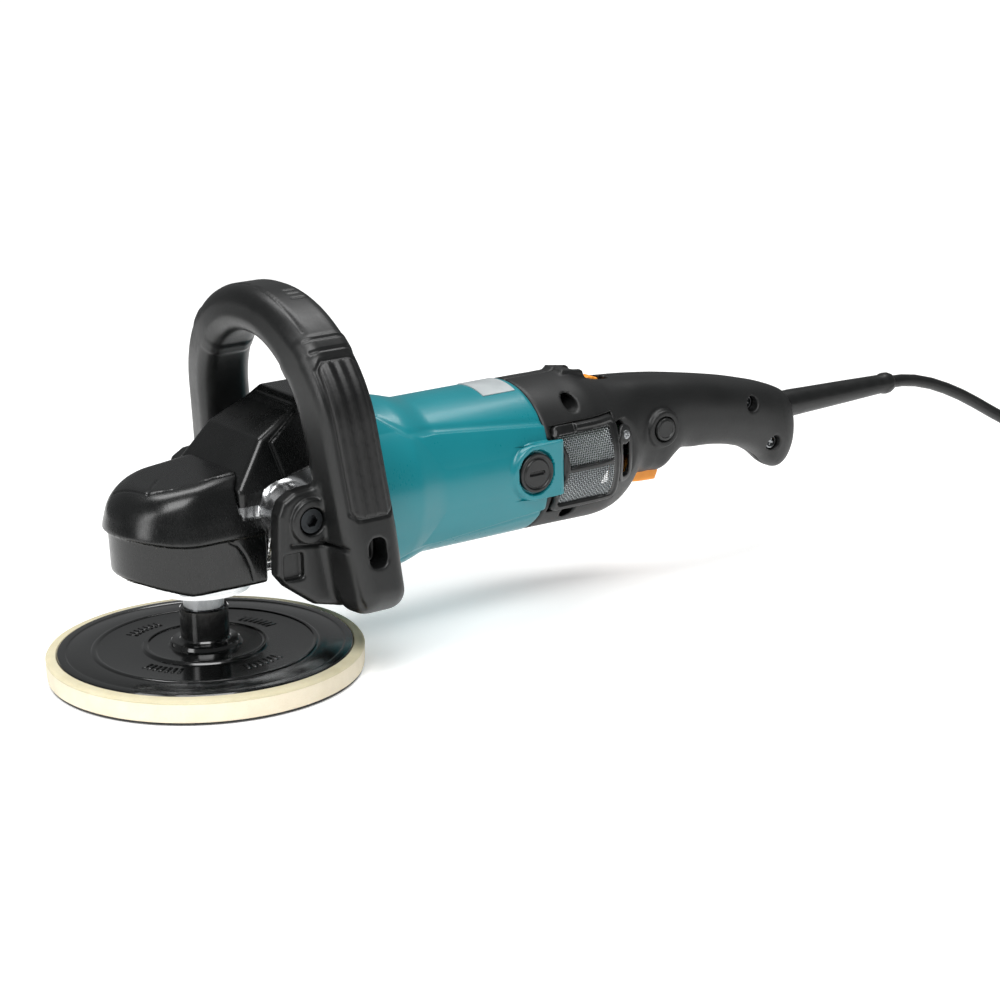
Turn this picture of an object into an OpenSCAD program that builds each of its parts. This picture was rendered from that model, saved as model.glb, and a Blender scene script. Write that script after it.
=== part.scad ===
// Rotary polisher with a loop front handle, a two-stage gear head and a mains lead.
// Origin: centre of the working face, on the spindle's axis. X runs to the tail, Z is up.

/* [Pad] */
// Diameter of the foam backing pad
pad_d = 172; // [150:1:180]
// Height of the foam above the working face
pad_h = 14.2; // [12:0.1:15]
// Diameter of the moulded backing plate
plate_d = 160.2; // [140:0.2:162]

/* [Spindle] */
// Diameter of the spindle's M14 thread
thread_d = 14; // [14:1:16]
// Top of the backing plate's hub
hub_top = 37.5; // [34:0.5:40]

/* [Gears] */
// Height of the motor's axis
motor_z = 87; // [87:1:87]
// Teeth on the bevel gear
bevel_teeth = 37; // [37:1:37]
// Teeth on the bevel pinion
bevel_pinion_teeth = 12; // [12:1:12]
// Teeth on the layshaft's gear
lay_teeth = 27; // [27:1:27]
// Teeth on the motor's pinion
motor_teeth = 9; // [9:1:9]
// Module of the motor's gear pair
spur_module = 1; // [1:1:1]

/* [Head] */
// Half width of the rubber nose cover
nose_half_w = 38; // [37:0.5:40]
// Height of the rubber nose cover's top at its front
nose_top = 108; // [106:0.5:109]
// Top of the hood over the gears
hood_top = 149; // [146:0.5:152]
// Thickness of the rubber covers
cover_t = 3; // [2.5:0.1:3.5]

/* [Motor housing] */
// Outer radius of the motor housing
motor_r = 44.4; // [43:0.2:46]
// Rear end of the motor housing
motor_rear = 201; // [199:1:203]

/* [Loop handle] */
// Height of the middle of the loop's top bar
bar_z = 195; // [190:1:200]
// Half width of the loop at its feet, to the middle of the legs
leg_y = 74; // [72:0.5:76]
// How far each leg leans inwards, in degrees
leg_tilt = 6.8; // [5:0.1:8]
// Radius of the loop's upper corners, to the middle of the bar
corner_r = 61; // [56:1:61]
// Width of the loop's section along X
leg_w = 32; // [30:1:36]
// Thickness of a leg across the loop
leg_t = 30; // [26:1:32]

/* [Lead] */
// Diameter of the mains lead
cord_d = 8; // [7:0.5:8]

/* [Hidden] */
$fn = 64;

// Running clearance of a shaft in its bearing, and the gap beside a part that slides
run = 0.05;
slide_gap = 0.4;
tiny = 0.01;

// Pad stack
hook_t = 1.5;
plate_bottom = 11;
plate_top = 15.1;
plate_r = plate_d / 2;
pad_r = pad_d / 2;

// Gear train: pitch sizes follow from the tooth counts
lay_z = motor_z + spur_module * (lay_teeth + motor_teeth) / 2;
bevel_pitch_r = 28;
bevel_pinion_pitch_r = bevel_pitch_r * bevel_pinion_teeth / bevel_teeth;
cone_outer = norm([bevel_pitch_r, bevel_pinion_pitch_r]);
cone_inner = cone_outer - 7;
gear_cone = atan(bevel_teeth / bevel_pinion_teeth);
pinion_cone = 90 - gear_cone;
tip_angle = 2.2;
root_angle = 3.4;

// Spindle and its bearings
neck_r = 11;
journal_r = 8;
top_journal_r = 5;
gear_back = 86;
gear_seat_top = 92;

// Gear housing
nose_x = -15;
top_seat = [99.2, 106.2];
floor_z = 60;
roof_z = 108;
recess_r = 36;
lay_recess_r = 15.5;
bulkhead_x = 63;
bulkhead_end = 79.5;
flange_x = 86;
foot_y = 50;
bolt_x = 32;
bolt_z = 93;

// Motor
shaft_r = 5;
shaft_end_r = 4;
pilot_r = 2.6;
core_x = 108;
core_end = 158;
armature_r = 24.8;
bore_r = 25.6;
stator_r = 40.6;
brush_x = 190;
brush_z = 87.5;
commutator_r = 14;

// Rear handle: x, top, bottom, half width, squareness of each section
handle_sections = [
    [201, 131.4, 42.6, 44.4, 2], [238, 130.8, 42.2, 44, 2], [256, 125, 42.4, 38.5, 2.1],
    [268, 122.8, 43.8, 32, 2.2], [276, 122.2, 48.4, 28, 2.3], [283, 121.5, 59.5, 25.4, 2.5],
    [309, 118.6, 61.6, 23.2, 2.6], [318, 117.2, 70, 22.4, 2.6], [351, 111.2, 68.4, 22, 2.5],
    [380, 104.4, 60.4, 21, 2.5], [392, 101, 53, 19.6, 2.4], [400, 98, 45.6, 18, 2.3],
    [408, 94.2, 45, 15.5, 2.2], [414, 90, 53, 12, 2.1]
];
handle_wall = 3;
handle_fn = 32;
handle_screw_at = [[226, 119], [221.5, 57], [372, 93], [392, 65]];

// Filter window in each side of the rear handle: x and z limits
window_x = [205, 254];
window_z = [59, 110];
mesh_x = [213, 250];
mesh_z = [[65, 83], [88, 104.5]];

// Controls
trigger_pivot = [312, 79];
button_at = [298, 91];
button_r = 7;
dial_at = [259, 112.5];
dial_r = 12.5;
lock_x = 0;
lock_z = 88;

// Loop handle
leg_foot_z = 50;
bar_t = 25;
loop_x = 52;
loop_lean = 0.1;
loop_skew = 2.5;
corner_z = bar_z - corner_r * (1 - sin(leg_tilt));
corner_y = leg_y - tan(leg_tilt) * (corner_z - leg_foot_z);

// Lead: it leaves the guard level, droops to the floor and is wound into a flat coil of
// two layers beside it. Every point is the middle of the lead.
guard_z = 82.5;
guard_end = 506;
coil_at = [690, -75];
coil_inner = 34;
coil_outer = 62;
cord_route = [
    [506, 0, 82.5], [516, 0, 82], [528, 0, 80], [542, 0, 76], [556, 0, 70.5], [570, 0, 64],
    [584, 0, 56.5], [598, 0, 48.5], [612, -1, 40.5], [626, -3, 33], [640, -6, 26.5],
    [654, -9, 20.5], [668, -12, 15.5], [680, -13, 12.7], [690, -13, 12]
];
tail_route = [
    [690, -137, 4], [681, -137, 4], [672, -136, 4.5], [663, -134, 5.5], [655, -132, 7],
    [648, -130, 8.5], [642, -129, 9.6], [636, -128, 10]
];
plug_at = [636, -128, 10];

// ---- Helpers ----

// A rod along each axis
module x_rod(x0, x1, r, z = motor_z, y = 0) {
    translate([x0, y, z]) rotate([0, 90, 0]) cylinder(h = x1 - x0, r = r);
}
module y_rod(y0, y1, r, x, z) {
    translate([x, y1, z]) rotate([90, 0, 0]) cylinder(h = y1 - y0, r = r);
}
module z_rod(z0, z1, r, x = 0, y = 0) {
    translate([x, y, z0]) cylinder(h = z1 - z0, r = r);
}
// A box between two corners
module box(low, high) {
    translate(low) cube(high - low);
}
// A ring along X or Z
module x_ring(x0, x1, inner, outer, z = motor_z, y = 0) {
    difference() {
        x_rod(x0, x1, outer, z, y);
        x_rod(x0 - 1, x1 + 1, inner, z, y);
    }
}
module z_ring(z0, z1, inner, outer) {
    difference() {
        z_rod(z0, z1, outer);
        z_rod(z0 - 1, z1 + 1, inner);
    }
}
// An outline drawn in Y and Z, given length along X
module along_x(x0, x1, z = 0) {
    translate([x0, 0, z]) rotate([90, 0, 90]) linear_extrude(x1 - x0) children();
}
// An outline drawn in X and Z, given length along Y
module along_y(y0, y1) {
    translate([0, y1, 0]) rotate([90, 0, 0]) linear_extrude(y1 - y0) children();
}
module both_sides() {
    children();
    mirror([0, 1, 0]) children();
}
// A skin over rings of points, with flat ends, or closed on itself
module skin(rings, closed = false) {
    n = len(rings[0]);
    count = len(rings);
    steps = closed ? count : count - 1;
    sides = [
        for (i = [0 : steps - 1], k = [0 : n - 1])
            let (j = (i + 1) % count, m = (k + 1) % n)
            [i * n + k, j * n + k, j * n + m, i * n + m]
    ];
    ends = closed ? [] : [
        [for (k = [0 : n - 1]) k],
        [for (k = [0 : n - 1]) count * n - 1 - k]
    ];
    polyhedron([for (ring = rings) each ring], concat(sides, ends));
}
function bend(v, power) = sign(v) * pow(abs(v), 2 / power);
function unit(v) = v / norm(v);

// A round tube swept along points, level-sided so that it never twists
function heading(route, i) =
    unit(route[min(i + 1, len(route) - 1)] - route[max(i - 1, 0)]);
function tube_ring(at, way, r, sides) =
    let (side = unit(cross([0, 0, 1], way)), top = cross(way, side))
    [for (k = [0 : sides - 1])
        at + r * (cos(k * 360 / sides) * side + sin(k * 360 / sides) * top)];
module tube(route, d, sides = 8) {
    skin([for (i = [0 : len(route) - 1]) tube_ring(route[i], heading(route, i), d / 2, sides)]);
}
// A compression spring along Z
module coil_spring(height, r, wire, turns) {
    steps = turns * 12;
    skin([
        for (i = [0 : steps])
            let (a = i * 30, way = [-sin(a), cos(a), height / turns / 360 * 57.3 / r])
            tube_ring([r * cos(a), r * sin(a), wire / 2 + i * (height - wire) / steps],
                      unit(way), wire / 2, 6)
    ]);
}
// A gear's outline with straight-sided teeth, the first one on the +X axis
function gear_outline(teeth, root, tip, root_half, tip_half) = [
    for (i = [0 : teeth - 1], c = [[-root_half, root], [-tip_half, tip],
                                   [tip_half, tip], [root_half, root]])
        let (a = 360 / teeth * (i + c[0])) [c[1] * cos(a), c[1] * sin(a)]
];
// A straight bevel gear about Z with its cone's apex at the origin, opening upwards
module bevel(teeth, cone, root_half, tip_half, bore, front, back) {
    skin([
        for (i = [0 : teeth - 1], c = [[-root_half, -root_angle], [-tip_half, tip_angle],
                                       [tip_half, tip_angle], [root_half, -root_angle]])
            let (
                turn = 360 / teeth * (i + c[0]),
                a = cone + c[1],
                rim = cone_outer * sin(a),
                section = [[bore, back], [rim, back], [rim, cone_outer * cos(a)],
                           [cone_inner * sin(a), cone_inner * cos(a)], [bore, front]]
            )
            [for (p = section) [p[0] * cos(turn), p[0] * sin(turn), p[1]]]
    ], closed = true);
}

// ---- Pad and spindle, which turn together ----

module hook_face() {
    color("#3a3a3a") z_rod(0, hook_t, pad_r - 1);
}
module foam_pad() {
    color("#ede3cf") difference() {
        z_rod(hook_t, pad_h, pad_r);
        z_rod(plate_bottom, pad_h + 1, plate_r);
    }
}
module backing_plate() {
    color("#202122") difference() {
        union() {
            z_rod(plate_bottom, plate_top, plate_r);
            z_rod(plate_top - 1, plate_top + 0.7, 60.6);
            z_rod(plate_top, plate_top + 1.6, 33.4);
            z_rod(plate_top, plate_top + 4, 18.5);
            z_rod(plate_top, hub_top, 13.2);
        }
        z_rod(plate_bottom + 2, hub_top + 1, thread_d / 2);
    }
}
module spindle() {
    color("#9a9c9e") union() {
        z_rod(plate_bottom + 3, hub_top, thread_d / 2);
        z_rod(hub_top, 52, neck_r);
        z_rod(52, gear_seat_top, journal_r);
        z_rod(66.5, 70, 10.5);
        z_rod(gear_seat_top, top_seat[1] - 0.2, top_journal_r);
    }
}
module bevel_gear() {
    color("#8d8f91") difference() {
        translate([0, 0, lay_z]) mirror([0, 0, 1])
            bevel(bevel_teeth, gear_cone, 0.27, 0.11, journal_r + tiny,
                  lay_z - gear_seat_top, lay_z - gear_back);
        for (a = [0 : 90 : 270])
            rotate(a) box([-4.5, 24, gear_back - 1], [4.5, 32, lock_z + 4.5]);
    }
}

// ---- Layshaft ----

module layshaft() {
    color("#9a9c9e") union() {
        x_rod(20.6, 31, shaft_end_r, lay_z);
        x_rod(31, 70.5, shaft_r, lay_z);
        x_rod(42, 48, 8, lay_z);
    }
}
module bevel_pinion() {
    color("#8d8f91") translate([0, 0, lay_z]) rotate([0, 90, 0]) rotate([0, 0, 15])
        bevel(bevel_pinion_teeth, pinion_cone, 0.28, 0.1, shaft_end_r + 0.2, 21.6, 30.6);
}
module lay_gear() {
    pitch_r = spur_module * lay_teeth / 2;
    color("#8d8f91") along_x(50, 60, lay_z) rotate(-90) difference() {
        polygon(gear_outline(lay_teeth, pitch_r - 1.1, pitch_r + 0.8, 0.26, 0.1));
        circle(shaft_r + 0.2, $fn = 12);
    }
}

// ---- Motor armature ----

module armature_shaft() {
    color("#9a9c9e") union() {
        x_rod(48, 62, pilot_r);
        x_rod(62, 199, shaft_r);
        x_rod(199, 210, shaft_end_r);
    }
}
module armature_core() {
    color("#6f7276") difference() {
        along_x(core_x, core_end, motor_z) difference() {
            circle(armature_r);
            for (i = [0 : 11]) rotate(i * 30) translate([21.5, 0]) square([8, 3.2], center = true);
        }
        x_rod(core_x - 1, core_end + 1, shaft_r + tiny);
    }
}
module armature_windings() {
    color("#a8602f") union() {
        x_ring(core_x - 10, core_x, 9, 20.5);
        x_ring(core_end, core_end + 10, 9, 20.5);
    }
}
module commutator() {
    color("#b87333") x_ring(182, 197, shaft_r + tiny, commutator_r);
}
module fan() {
    color("#30343a") difference() {
        union() {
            x_rod(82, 84, 32.5);
            x_rod(82, 93, 8.5);
            for (i = [0 : 10])
                translate([0, 0, motor_z]) rotate([i * 360 / 11, 0, 0])
                    box([83.5, -0.9, 14], [92, 0.9, 32]);
        }
        x_rod(81, 94, shaft_r + tiny);
    }
}
module motor_pinion() {
    pitch_r = spur_module * motor_teeth / 2;
    color("#8d8f91") along_x(49, 61, motor_z) rotate(90 + 180 / motor_teeth) difference() {
        polygon(gear_outline(motor_teeth, pitch_r - 1.2, pitch_r + 0.8, 0.28, 0.09));
        circle(pilot_r + 0.15, $fn = 12);
    }
}

// ---- Gear head ----

// The nose's outline from above, grown by a margin
module nose_outline(half_w) {
    union() {
        translate([nose_x, 0]) circle(half_w);
        translate([nose_x, -half_w]) square([20 - nose_x, 2 * half_w]);
    }
}
// Height of the nose's sloping top at a station along X
function nose_roof(x) = nose_top + (x + 48) * 0.131;
// The nose as a solid, with its top edges chamfered
module nose_block(inset, bottom) {
    half_w = nose_half_w - inset;
    intersection() {
        translate([0, 0, bottom]) linear_extrude(130 - bottom) nose_outline(half_w);
        along_y(-50, 50) polygon([
            [-60, 40], [-60, 84], [-47 + inset, nose_roof(-47) - inset],
            [30, nose_roof(30) - inset], [30, 40]
        ]);
        along_x(-60, 30) polygon([
            [-half_w, 40], [half_w, 40], [half_w, 97 - inset], [half_w - 13, 118 - inset],
            [13 - half_w, 118 - inset], [-half_w, 97 - inset]
        ]);
    }
}
// The hood's side view: it climbs from the nose, runs level and drops to the motor
module hood_side(grow) {
    polygon([
        [8 - grow, roof_z], [24.5 - grow / 2, 128.3 + grow], [45 - grow / 2, 139 + grow],
        [53.5 - grow / 2, hood_top - cover_t + grow],
        [72, hood_top - cover_t + grow], [84, 132 + grow], [84, roof_z - 8], [8, roof_z - 8]
    ]);
}
// The hood's front view: narrow on top, wide where it meets the housing
module hood_front(grow) {
    top = hood_top - cover_t + grow;
    polygon([
        [-17 - grow, top], [17 + grow, top], [23 + grow, top - 12], [33 + grow, 106],
        [33 + grow, 96], [-33 - grow, 96], [-33 - grow, 106], [-23 - grow, top - 12]
    ]);
}
module hood_block(grow) {
    intersection() {
        along_y(-50, 50) hood_side(grow);
        along_x(-10, 100) hood_front(grow);
    }
}
module gear_cavity() {
    intersection() {
        z_rod(70, roof_z, 31.5);
        along_y(-40, 40) polygon([[-40, 60], [-40, 99.6], [-6, 99.6], [6, 107], [40, 107], [40, 60]]);
    }
    z_rod(floor_z - 1, 71, 26.5);
    x_rod(19, 31.5, 11.2, lay_z);
    x_rod(31, 42, 13, lay_z);
    x_rod(42, bulkhead_x, lay_recess_r, lay_z);
    x_rod(44, bulkhead_x, 9, motor_z);
    box([44, -9, motor_z], [bulkhead_x, 9, lay_z]);
    box([46, -13, lay_z], [bulkhead_x, 13, 138]);
    x_rod(bulkhead_x, flange_x + 1, recess_r, motor_z);
}
module gear_housing() {
    color("#c9cbcc") difference() {
        union() {
            nose_block(cover_t, floor_z);
            intersection() {
                x_rod(20, 70, 40);
                box([10, -50, floor_z - 6], [80, 50, 106]);
            }
            x_rod(70, flange_x, motor_r);
            hood_block(0);
            both_sides() y_rod(36, foot_y, 15, bolt_x, bolt_z);
        }
        z_rod(40, floor_z, 35.5);
        difference() {
            gear_cavity();
            z_rod(top_seat[0], roof_z + 1, 12);
        }
        z_rod(top_seat[0] - 1, top_seat[1], 8.5);
        x_rod(bulkhead_x, bulkhead_end, 15, lay_z);
        for (a = [45 : 90 : 315])
            x_rod(72, flange_x + 1, 2, motor_z + 40.2 * sin(a), 40.2 * cos(a));
        for (a = [45 : 90 : 315]) z_rod(floor_z - 1, 71, 2, 30 * cos(a), 30 * sin(a));
        both_sides() y_rod(38, foot_y + 1, 4, bolt_x, bolt_z);
        y_rod(20, 40, 4 + slide_gap, lock_x, lock_z);
    }
}
module head_cover() {
    color("#1b1d1d") difference() {
        nose_block(0, 55);
        nose_block(cover_t, 50);
        hood_block(cover_t);
        along_y(-50, 50) polygon([[-60, 45], [-60, 66], [-24, 55], [-20, 45]]);
        y_rod(20, 45, 7 + slide_gap, lock_x, lock_z);
        both_sides() y_rod(30, 60, 15, bolt_x, bolt_z);
        box([19.9, -50, 50], [30, 50, 120]);
    }
}
module hood_cover() {
    color("#1f2121") difference() {
        hood_block(cover_t);
        hood_block(0);
        nose_block(cover_t, 50);
        x_rod(70, 100, 44.5);
        both_sides() y_rod(30, 60, 15, bolt_x, bolt_z);
        box([20, -50, 90], [100, 50, 112]);
    }
}
module bearing_retainer() {
    color("#c2c4c5") difference() {
        union() {
            z_rod(48, floor_z - 4 + tiny, 25.8);
            z_rod(floor_z - 4, floor_z, 34);
            z_rod(floor_z - tiny, 66, 26.4);
        }
        z_rod(47, 54.1, neck_r + 0.6);
        z_rod(54, 67, 16);
        for (a = [45 : 90 : 315]) z_rod(50, 70, 2.1, 30 * cos(a), 30 * sin(a));
    }
}
module retainer_screws() {
    color("#7d8082") for (a = [45 : 90 : 315]) translate([30 * cos(a), 30 * sin(a), 0]) {
        difference() {
            z_rod(53, floor_z - 4, 4);
            z_rod(52, 54.5, 1.7, $fn = 6);
        }
        z_rod(floor_z - 4 - tiny, 70, 2);
    }
}
module spindle_bearing_lower() {
    color("#b5b8ba") z_ring(54, 66, journal_r + run, 16);
}
module spindle_bearing_upper() {
    color("#b5b8ba") z_ring(top_seat[0], top_seat[1], top_journal_r + run, 8.5);
}
module gearbox_bulkhead() {
    color("#c2c4c5") difference() {
        union() {
            x_rod(bulkhead_x, bulkhead_end, recess_r);
            x_rod(bulkhead_x, bulkhead_end, 15, lay_z);
        }
        x_rod(bulkhead_x - 1, 71, 8.5, lay_z);
        x_rod(72, bulkhead_end + 1, 13, motor_z);
        x_rod(bulkhead_x - 1, 73, 7, motor_z);
    }
}
module layshaft_bearings() {
    color("#b5b8ba") union() {
        x_ring(31.5, 41.5, shaft_r + run, 13, lay_z);
        x_ring(63.5, 71, shaft_r + run, 8.5, lay_z);
    }
}

// ---- Motor ----

module motor_housing() {
    color("#118f9b") difference() {
        union() {
            translate([0, 0, motor_z]) rotate([0, 90, 0]) rotate_extrude() polygon([
                [37, flange_x], [47, flange_x], [49, 92], [49, 124], [motor_r, 132],
                [motor_r, motor_rear], [41.4, motor_rear], [41.4, 128], [45, 121], [45, 89], [37, 89]
            ]);
            both_sides() difference() {
                y_rod(31, 46.5, 15.5, brush_x, brush_z);
                y_rod(30, 32.5, 12, brush_x, brush_z);
            }
            x_rod(197, 210.5, 16);
            box([197, -5, motor_z - 42], [motor_rear, 5, motor_z + 42]);
        }
        both_sides() {
            y_rod(38, 48, 11.5, brush_x, brush_z);
            y_rod(30, 39, 8, brush_x, brush_z);
        }
        x_rod(199.5, 212, 12.5);
        x_rod(196, 200, 7);
        for (a = [45 : 90 : 315])
            x_rod(flange_x - 1, 90, 2.1, motor_z + 40.2 * sin(a), 40.2 * cos(a));
    }
}
module motor_screws() {
    color("#7d8082") for (a = [45 : 90 : 315])
        translate([0, 40.2 * cos(a), 40.2 * sin(a)]) {
            x_rod(73, 89 + tiny, 2);
            x_rod(89, 92.5, 3.8);
        }
}
module stator_core() {
    color("#6f7276") x_ring(core_x, core_end, bore_r, stator_r);
}
module stator_coils() {
    color("#a8602f") union() {
        x_ring(core_x - 9, core_x, 27.5, 38);
        x_ring(core_end, core_end + 9, 27.5, 38);
    }
}
module fan_baffle() {
    color("#24272a") x_ring(95, 97, 23, 44.8);
}
module armature_bearings() {
    color("#b5b8ba") union() {
        x_ring(72, bulkhead_end, shaft_r + run, 13);
        x_ring(201, 209, shaft_end_r + run, 11);
    }
}
module rear_bearing_bush() {
    color("#202020") x_ring(200, 209.5, 11, 12.5);
}
module brush_holders() {
    color("#b9975b") both_sides() difference() {
        y_rod(16.5, 38, 8, brush_x, brush_z);
        box([brush_x - 4.1, 16, brush_z - 3.1], [brush_x + 4.1, 36, brush_z + 3.1]);
    }
}
module carbon_brushes() {
    color("#2c2c2e") both_sides() difference() {
        box([brush_x - 4, 13, brush_z - 3], [brush_x + 4, 30, brush_z + 3]);
        x_rod(180, 200, commutator_r + 0.3);
    }
}
module brush_caps() {
    color("#222425") both_sides() difference() {
        y_rod(38, 47.6, 11.4, brush_x, brush_z);
        box([brush_x - 8, 46, brush_z - 1.1], [brush_x + 8, 49, brush_z + 1.1]);
    }
}
module rating_label() {
    color("#e6e8e8") intersection() {
        x_ring(158, 190, motor_r, motor_r + 0.4);
        box([160, -16, 120], [188, 8, 140]);
    }
}

// ---- Rear handle ----

function handle_ring(s, inset) =
    let (mid = (s[1] + s[2]) / 2, high = (s[1] - s[2]) / 2 - inset, wide = s[3] - inset)
    [for (k = [0 : handle_fn - 1])
        let (a = k * 360 / handle_fn)
        [s[0], wide * bend(cos(a), s[4]), mid + high * bend(sin(a), s[4])]];
module handle_loft(inset) {
    skin([for (s = handle_sections) handle_ring(s, inset)]);
}
module handle_bosses() {
    for (p = handle_screw_at) y_rod(-50, 50, 5.2, p[0], p[1]);
}
module dial_hump() {
    along_y(-9, 9) polygon([
        [231, 127], [236, 132.8], [251, 130.4], [253, 125.4], [253, 119], [231, 119]
    ]);
}
module handle_shell() {
    difference() {
        union() {
            difference() {
                handle_loft(0);
                intersection() {
                    handle_loft(handle_wall);
                    box([200, -60, 0], [410, 60, 200]);
                }
            }
            intersection() {
                handle_loft(1);
                handle_bosses();
            }
            dial_hump();
        }
        box([window_x[0], -60, window_z[0]], [window_x[1], -20, window_z[1]]);
        box([window_x[0], 20, window_z[0]], [window_x[1], 60, window_z[1]]);
        both_sides() y_rod(28, 60, 15.5, brush_x, brush_z);
        for (p = handle_screw_at) {
            y_rod(-60, 60, 2, p[0], p[1]);
            y_rod(-60, -12, 4.6, p[0], p[1]);
        }
        box([275, -10, 40], [311.2, 10, 72]);
        box([245.5, -5.2, 100], [273, 5.2, 130]);
        x_rod(403, 430, 8.6, guard_z);
        y_rod(-30, -10, button_r + slide_gap, button_at[0], button_at[1]);
        y_rod(-60, 60, 2, trigger_pivot[0], trigger_pivot[1]);
    }
}
module handle_left() {
    color("#2e3130") intersection() {
        union() {
            handle_shell();
            difference() {
                y_rod(-27, -20, 11, button_at[0], button_at[1]);
                y_rod(-30, -10, button_r + slide_gap, button_at[0], button_at[1]);
            }
        }
        box([195, -60, 30], [430, 0, 140]);
    }
}
module handle_right() {
    color("#2e3130") intersection() {
        handle_shell();
        box([195, 0, 30], [430, 60, 140]);
    }
}
module handle_screws() {
    color("#7d8082") for (p = handle_screw_at) {
        y_rod(-14, -12, 4, p[0], p[1]);
        y_rod(-12 - tiny, 14, 1.9, p[0], p[1]);
    }
}
module filter_frame() {
    difference() {
        intersection() {
            handle_loft(-1.3);
            box([window_x[0], -60, window_z[0]], [window_x[1], -20, window_z[1]]);
        }
        handle_loft(handle_wall);
        for (z = mesh_z) box([mesh_x[0], -60, z[0]], [mesh_x[1], -20, z[1]]);
        y_rod(-60, -20, 15.9, brush_x, brush_z);
    }
}
module filter_frame_left() {
    color("#2a2d2d") filter_frame();
}
module filter_frame_right() {
    color("#2a2d2d") mirror([0, 1, 0]) filter_frame();
}
module filter_meshes() {
    color("#9fa3a5") both_sides() intersection() {
        difference() {
            handle_loft(0.4);
            handle_loft(1.4);
        }
        union() {
            for (z = mesh_z) box([mesh_x[0], -60, z[0]], [mesh_x[1], -20, z[1]]);
        }
    }
}
module switch_body() {
    color("#26292b") union() {
        box([280, -9, 86], [326, 9, 108]);
        x_rod(326, 332, 3, 94, 4);
        x_rod(326, 332, 3, 94, -4);
    }
}
module speed_controller() {
    color("#31553c") union() {
        box([222, -16, 77], [272, 16, 96]);
        both_sides() box([254, 6, 95.9], [264, 9, 116]);
        y_rod(-9, 9, 2, dial_at[0], dial_at[1]);
    }
}
module cord_clamp() {
    color("#24272a") difference() {
        box([382, -13, 74], [392, 13, 79]);
        both_sides() z_rod(70, 82, 1.8, 387, 9);
    }
}

// ---- Controls ----

module trigger() {
    color("#f0962e") difference() {
        along_y(-8.5, 8.5) polygon([
            [281.5, 57], [305.5, 55], [308.6, 63.4], [310, 68], [310.6, 74.8], [316.5, 75],
            [316.5, 83], [307, 83], [304, 70], [283, 70]
        ]);
        y_rod(-9, 9, 2 + run, trigger_pivot[0], trigger_pivot[1]);
    }
}
module trigger_pin() {
    color("#8d8f91") y_rod(-19, 19, 2, trigger_pivot[0], trigger_pivot[1]);
}
module trigger_spring() {
    color("#8d8f91") translate([294, 0, 70]) coil_spring(16, 4, 1.2, 5);
}
module lock_button() {
    color("#232627") union() {
        y_rod(-28.5, -15, button_r, button_at[0], button_at[1]);
        y_rod(-17, -15, button_r + 2, button_at[0], button_at[1]);
    }
}
module lock_button_spring() {
    color("#8d8f91") translate([button_at[0], -15, button_at[1]]) rotate([-90, 0, 0])
        coil_spring(6, 4.5, 0.8, 3);
}
module speed_dial() {
    color("#f0962e") difference() {
        along_y(-4.5, 4.5) translate(dial_at) difference() {
            circle(dial_r);
            for (i = [0 : 23]) rotate(i * 15) translate([dial_r, 0]) circle(0.6, $fn = 24);
        }
        y_rod(-5, 5, 2 + run, dial_at[0], dial_at[1]);
    }
}
module shaft_lock() {
    color("#232627") union() {
        y_rod(29.6, 41.5, 4, lock_x, lock_z);
        y_rod(38.6, 42.5, 7, lock_x, lock_z);
    }
}
module shaft_lock_spring() {
    color("#8d8f91") translate([lock_x, 35.1, lock_z]) rotate([-90, 0, 0])
        coil_spring(3.4, 5.6, 0.7, 2);
}

// ---- Loop handle ----

// Middle of the loop at a station: y, z and the direction that faces outwards
function loop_side() = concat(
    [for (z = [leg_foot_z - 6, each [leg_foot_z : 20 : corner_z - 5]])
        [leg_y - tan(leg_tilt) * (z - leg_foot_z), z, leg_tilt]],
    [for (a = [leg_tilt : (90 - leg_tilt) / 6 : 90.1])
        [corner_y - corner_r * cos(leg_tilt) + corner_r * cos(a),
         corner_z - corner_r * sin(leg_tilt) + corner_r * sin(a), a]]
);
function mirrored(stations) =
    [for (i = [len(stations) - 1 : -1 : 0])
        [-stations[i][0], stations[i][1], 180 - stations[i][2]]];
function loop_ring(s, grow) =
    let (
        x = loop_x - loop_lean * (s[1] - 130),
        toe = s[1] < leg_foot_z ? 0.65 : 1,
        half_t = toe * leg_t / 2 + (bar_t - leg_t) / 2 * pow(sin(s[2]), 2) + grow,
        half_w = toe * leg_w / 2 + grow
    )
    [for (k = [0 : 19])
        let (c = half_w * bend(cos(k * 18), 2.8), n = half_t * bend(sin(k * 18), 2.8))
        [x + c + loop_skew * n / half_t, s[0] + n * cos(s[2]), s[1] + n * sin(s[2])]];
module loop_bar() {
    side = loop_side();
    skin([for (s = concat(side, mirrored(side))) loop_ring(s, 0)]);
}
// A foot from the side: it wraps the bolt in front of the leg
module foot_outline() {
    polygon([
        [12.5, 65], [14, 98], [18, 106], [26, 109], [62, 108], [67, 80], [66, 48],
        [50, 43], [34, 46], [19, 58]
    ]);
}
module loop_handle() {
    color("#2b2d2d") difference() {
        union() {
            loop_bar();
            both_sides() along_y(foot_y, 62) foot_outline();
        }
        both_sides() {
            y_rod(foot_y - 1, 60, 4.3, bolt_x, bolt_z);
            y_rod(57, 92, 9, bolt_x, bolt_z);
        }
    }
}
module loop_grips() {
    color("#1d1f1f") both_sides() intersection() {
        difference() {
            skin([for (s = loop_side()) loop_ring(s, 1)]);
            skin([for (s = loop_side()) loop_ring(s, 0)]);
        }
        box([10, 66, 98], [90, 100, 168]);
    }
}
module loop_bolts() {
    color("#6e7173") both_sides() difference() {
        union() {
            y_rod(39, 57 + tiny, 4, bolt_x, bolt_z);
            y_rod(57, 63, 6.5, bolt_x, bolt_z);
        }
        y_rod(60, 64, 3.5, bolt_x, bolt_z, $fn = 6);
    }
}

// ---- Mains lead ----

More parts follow.
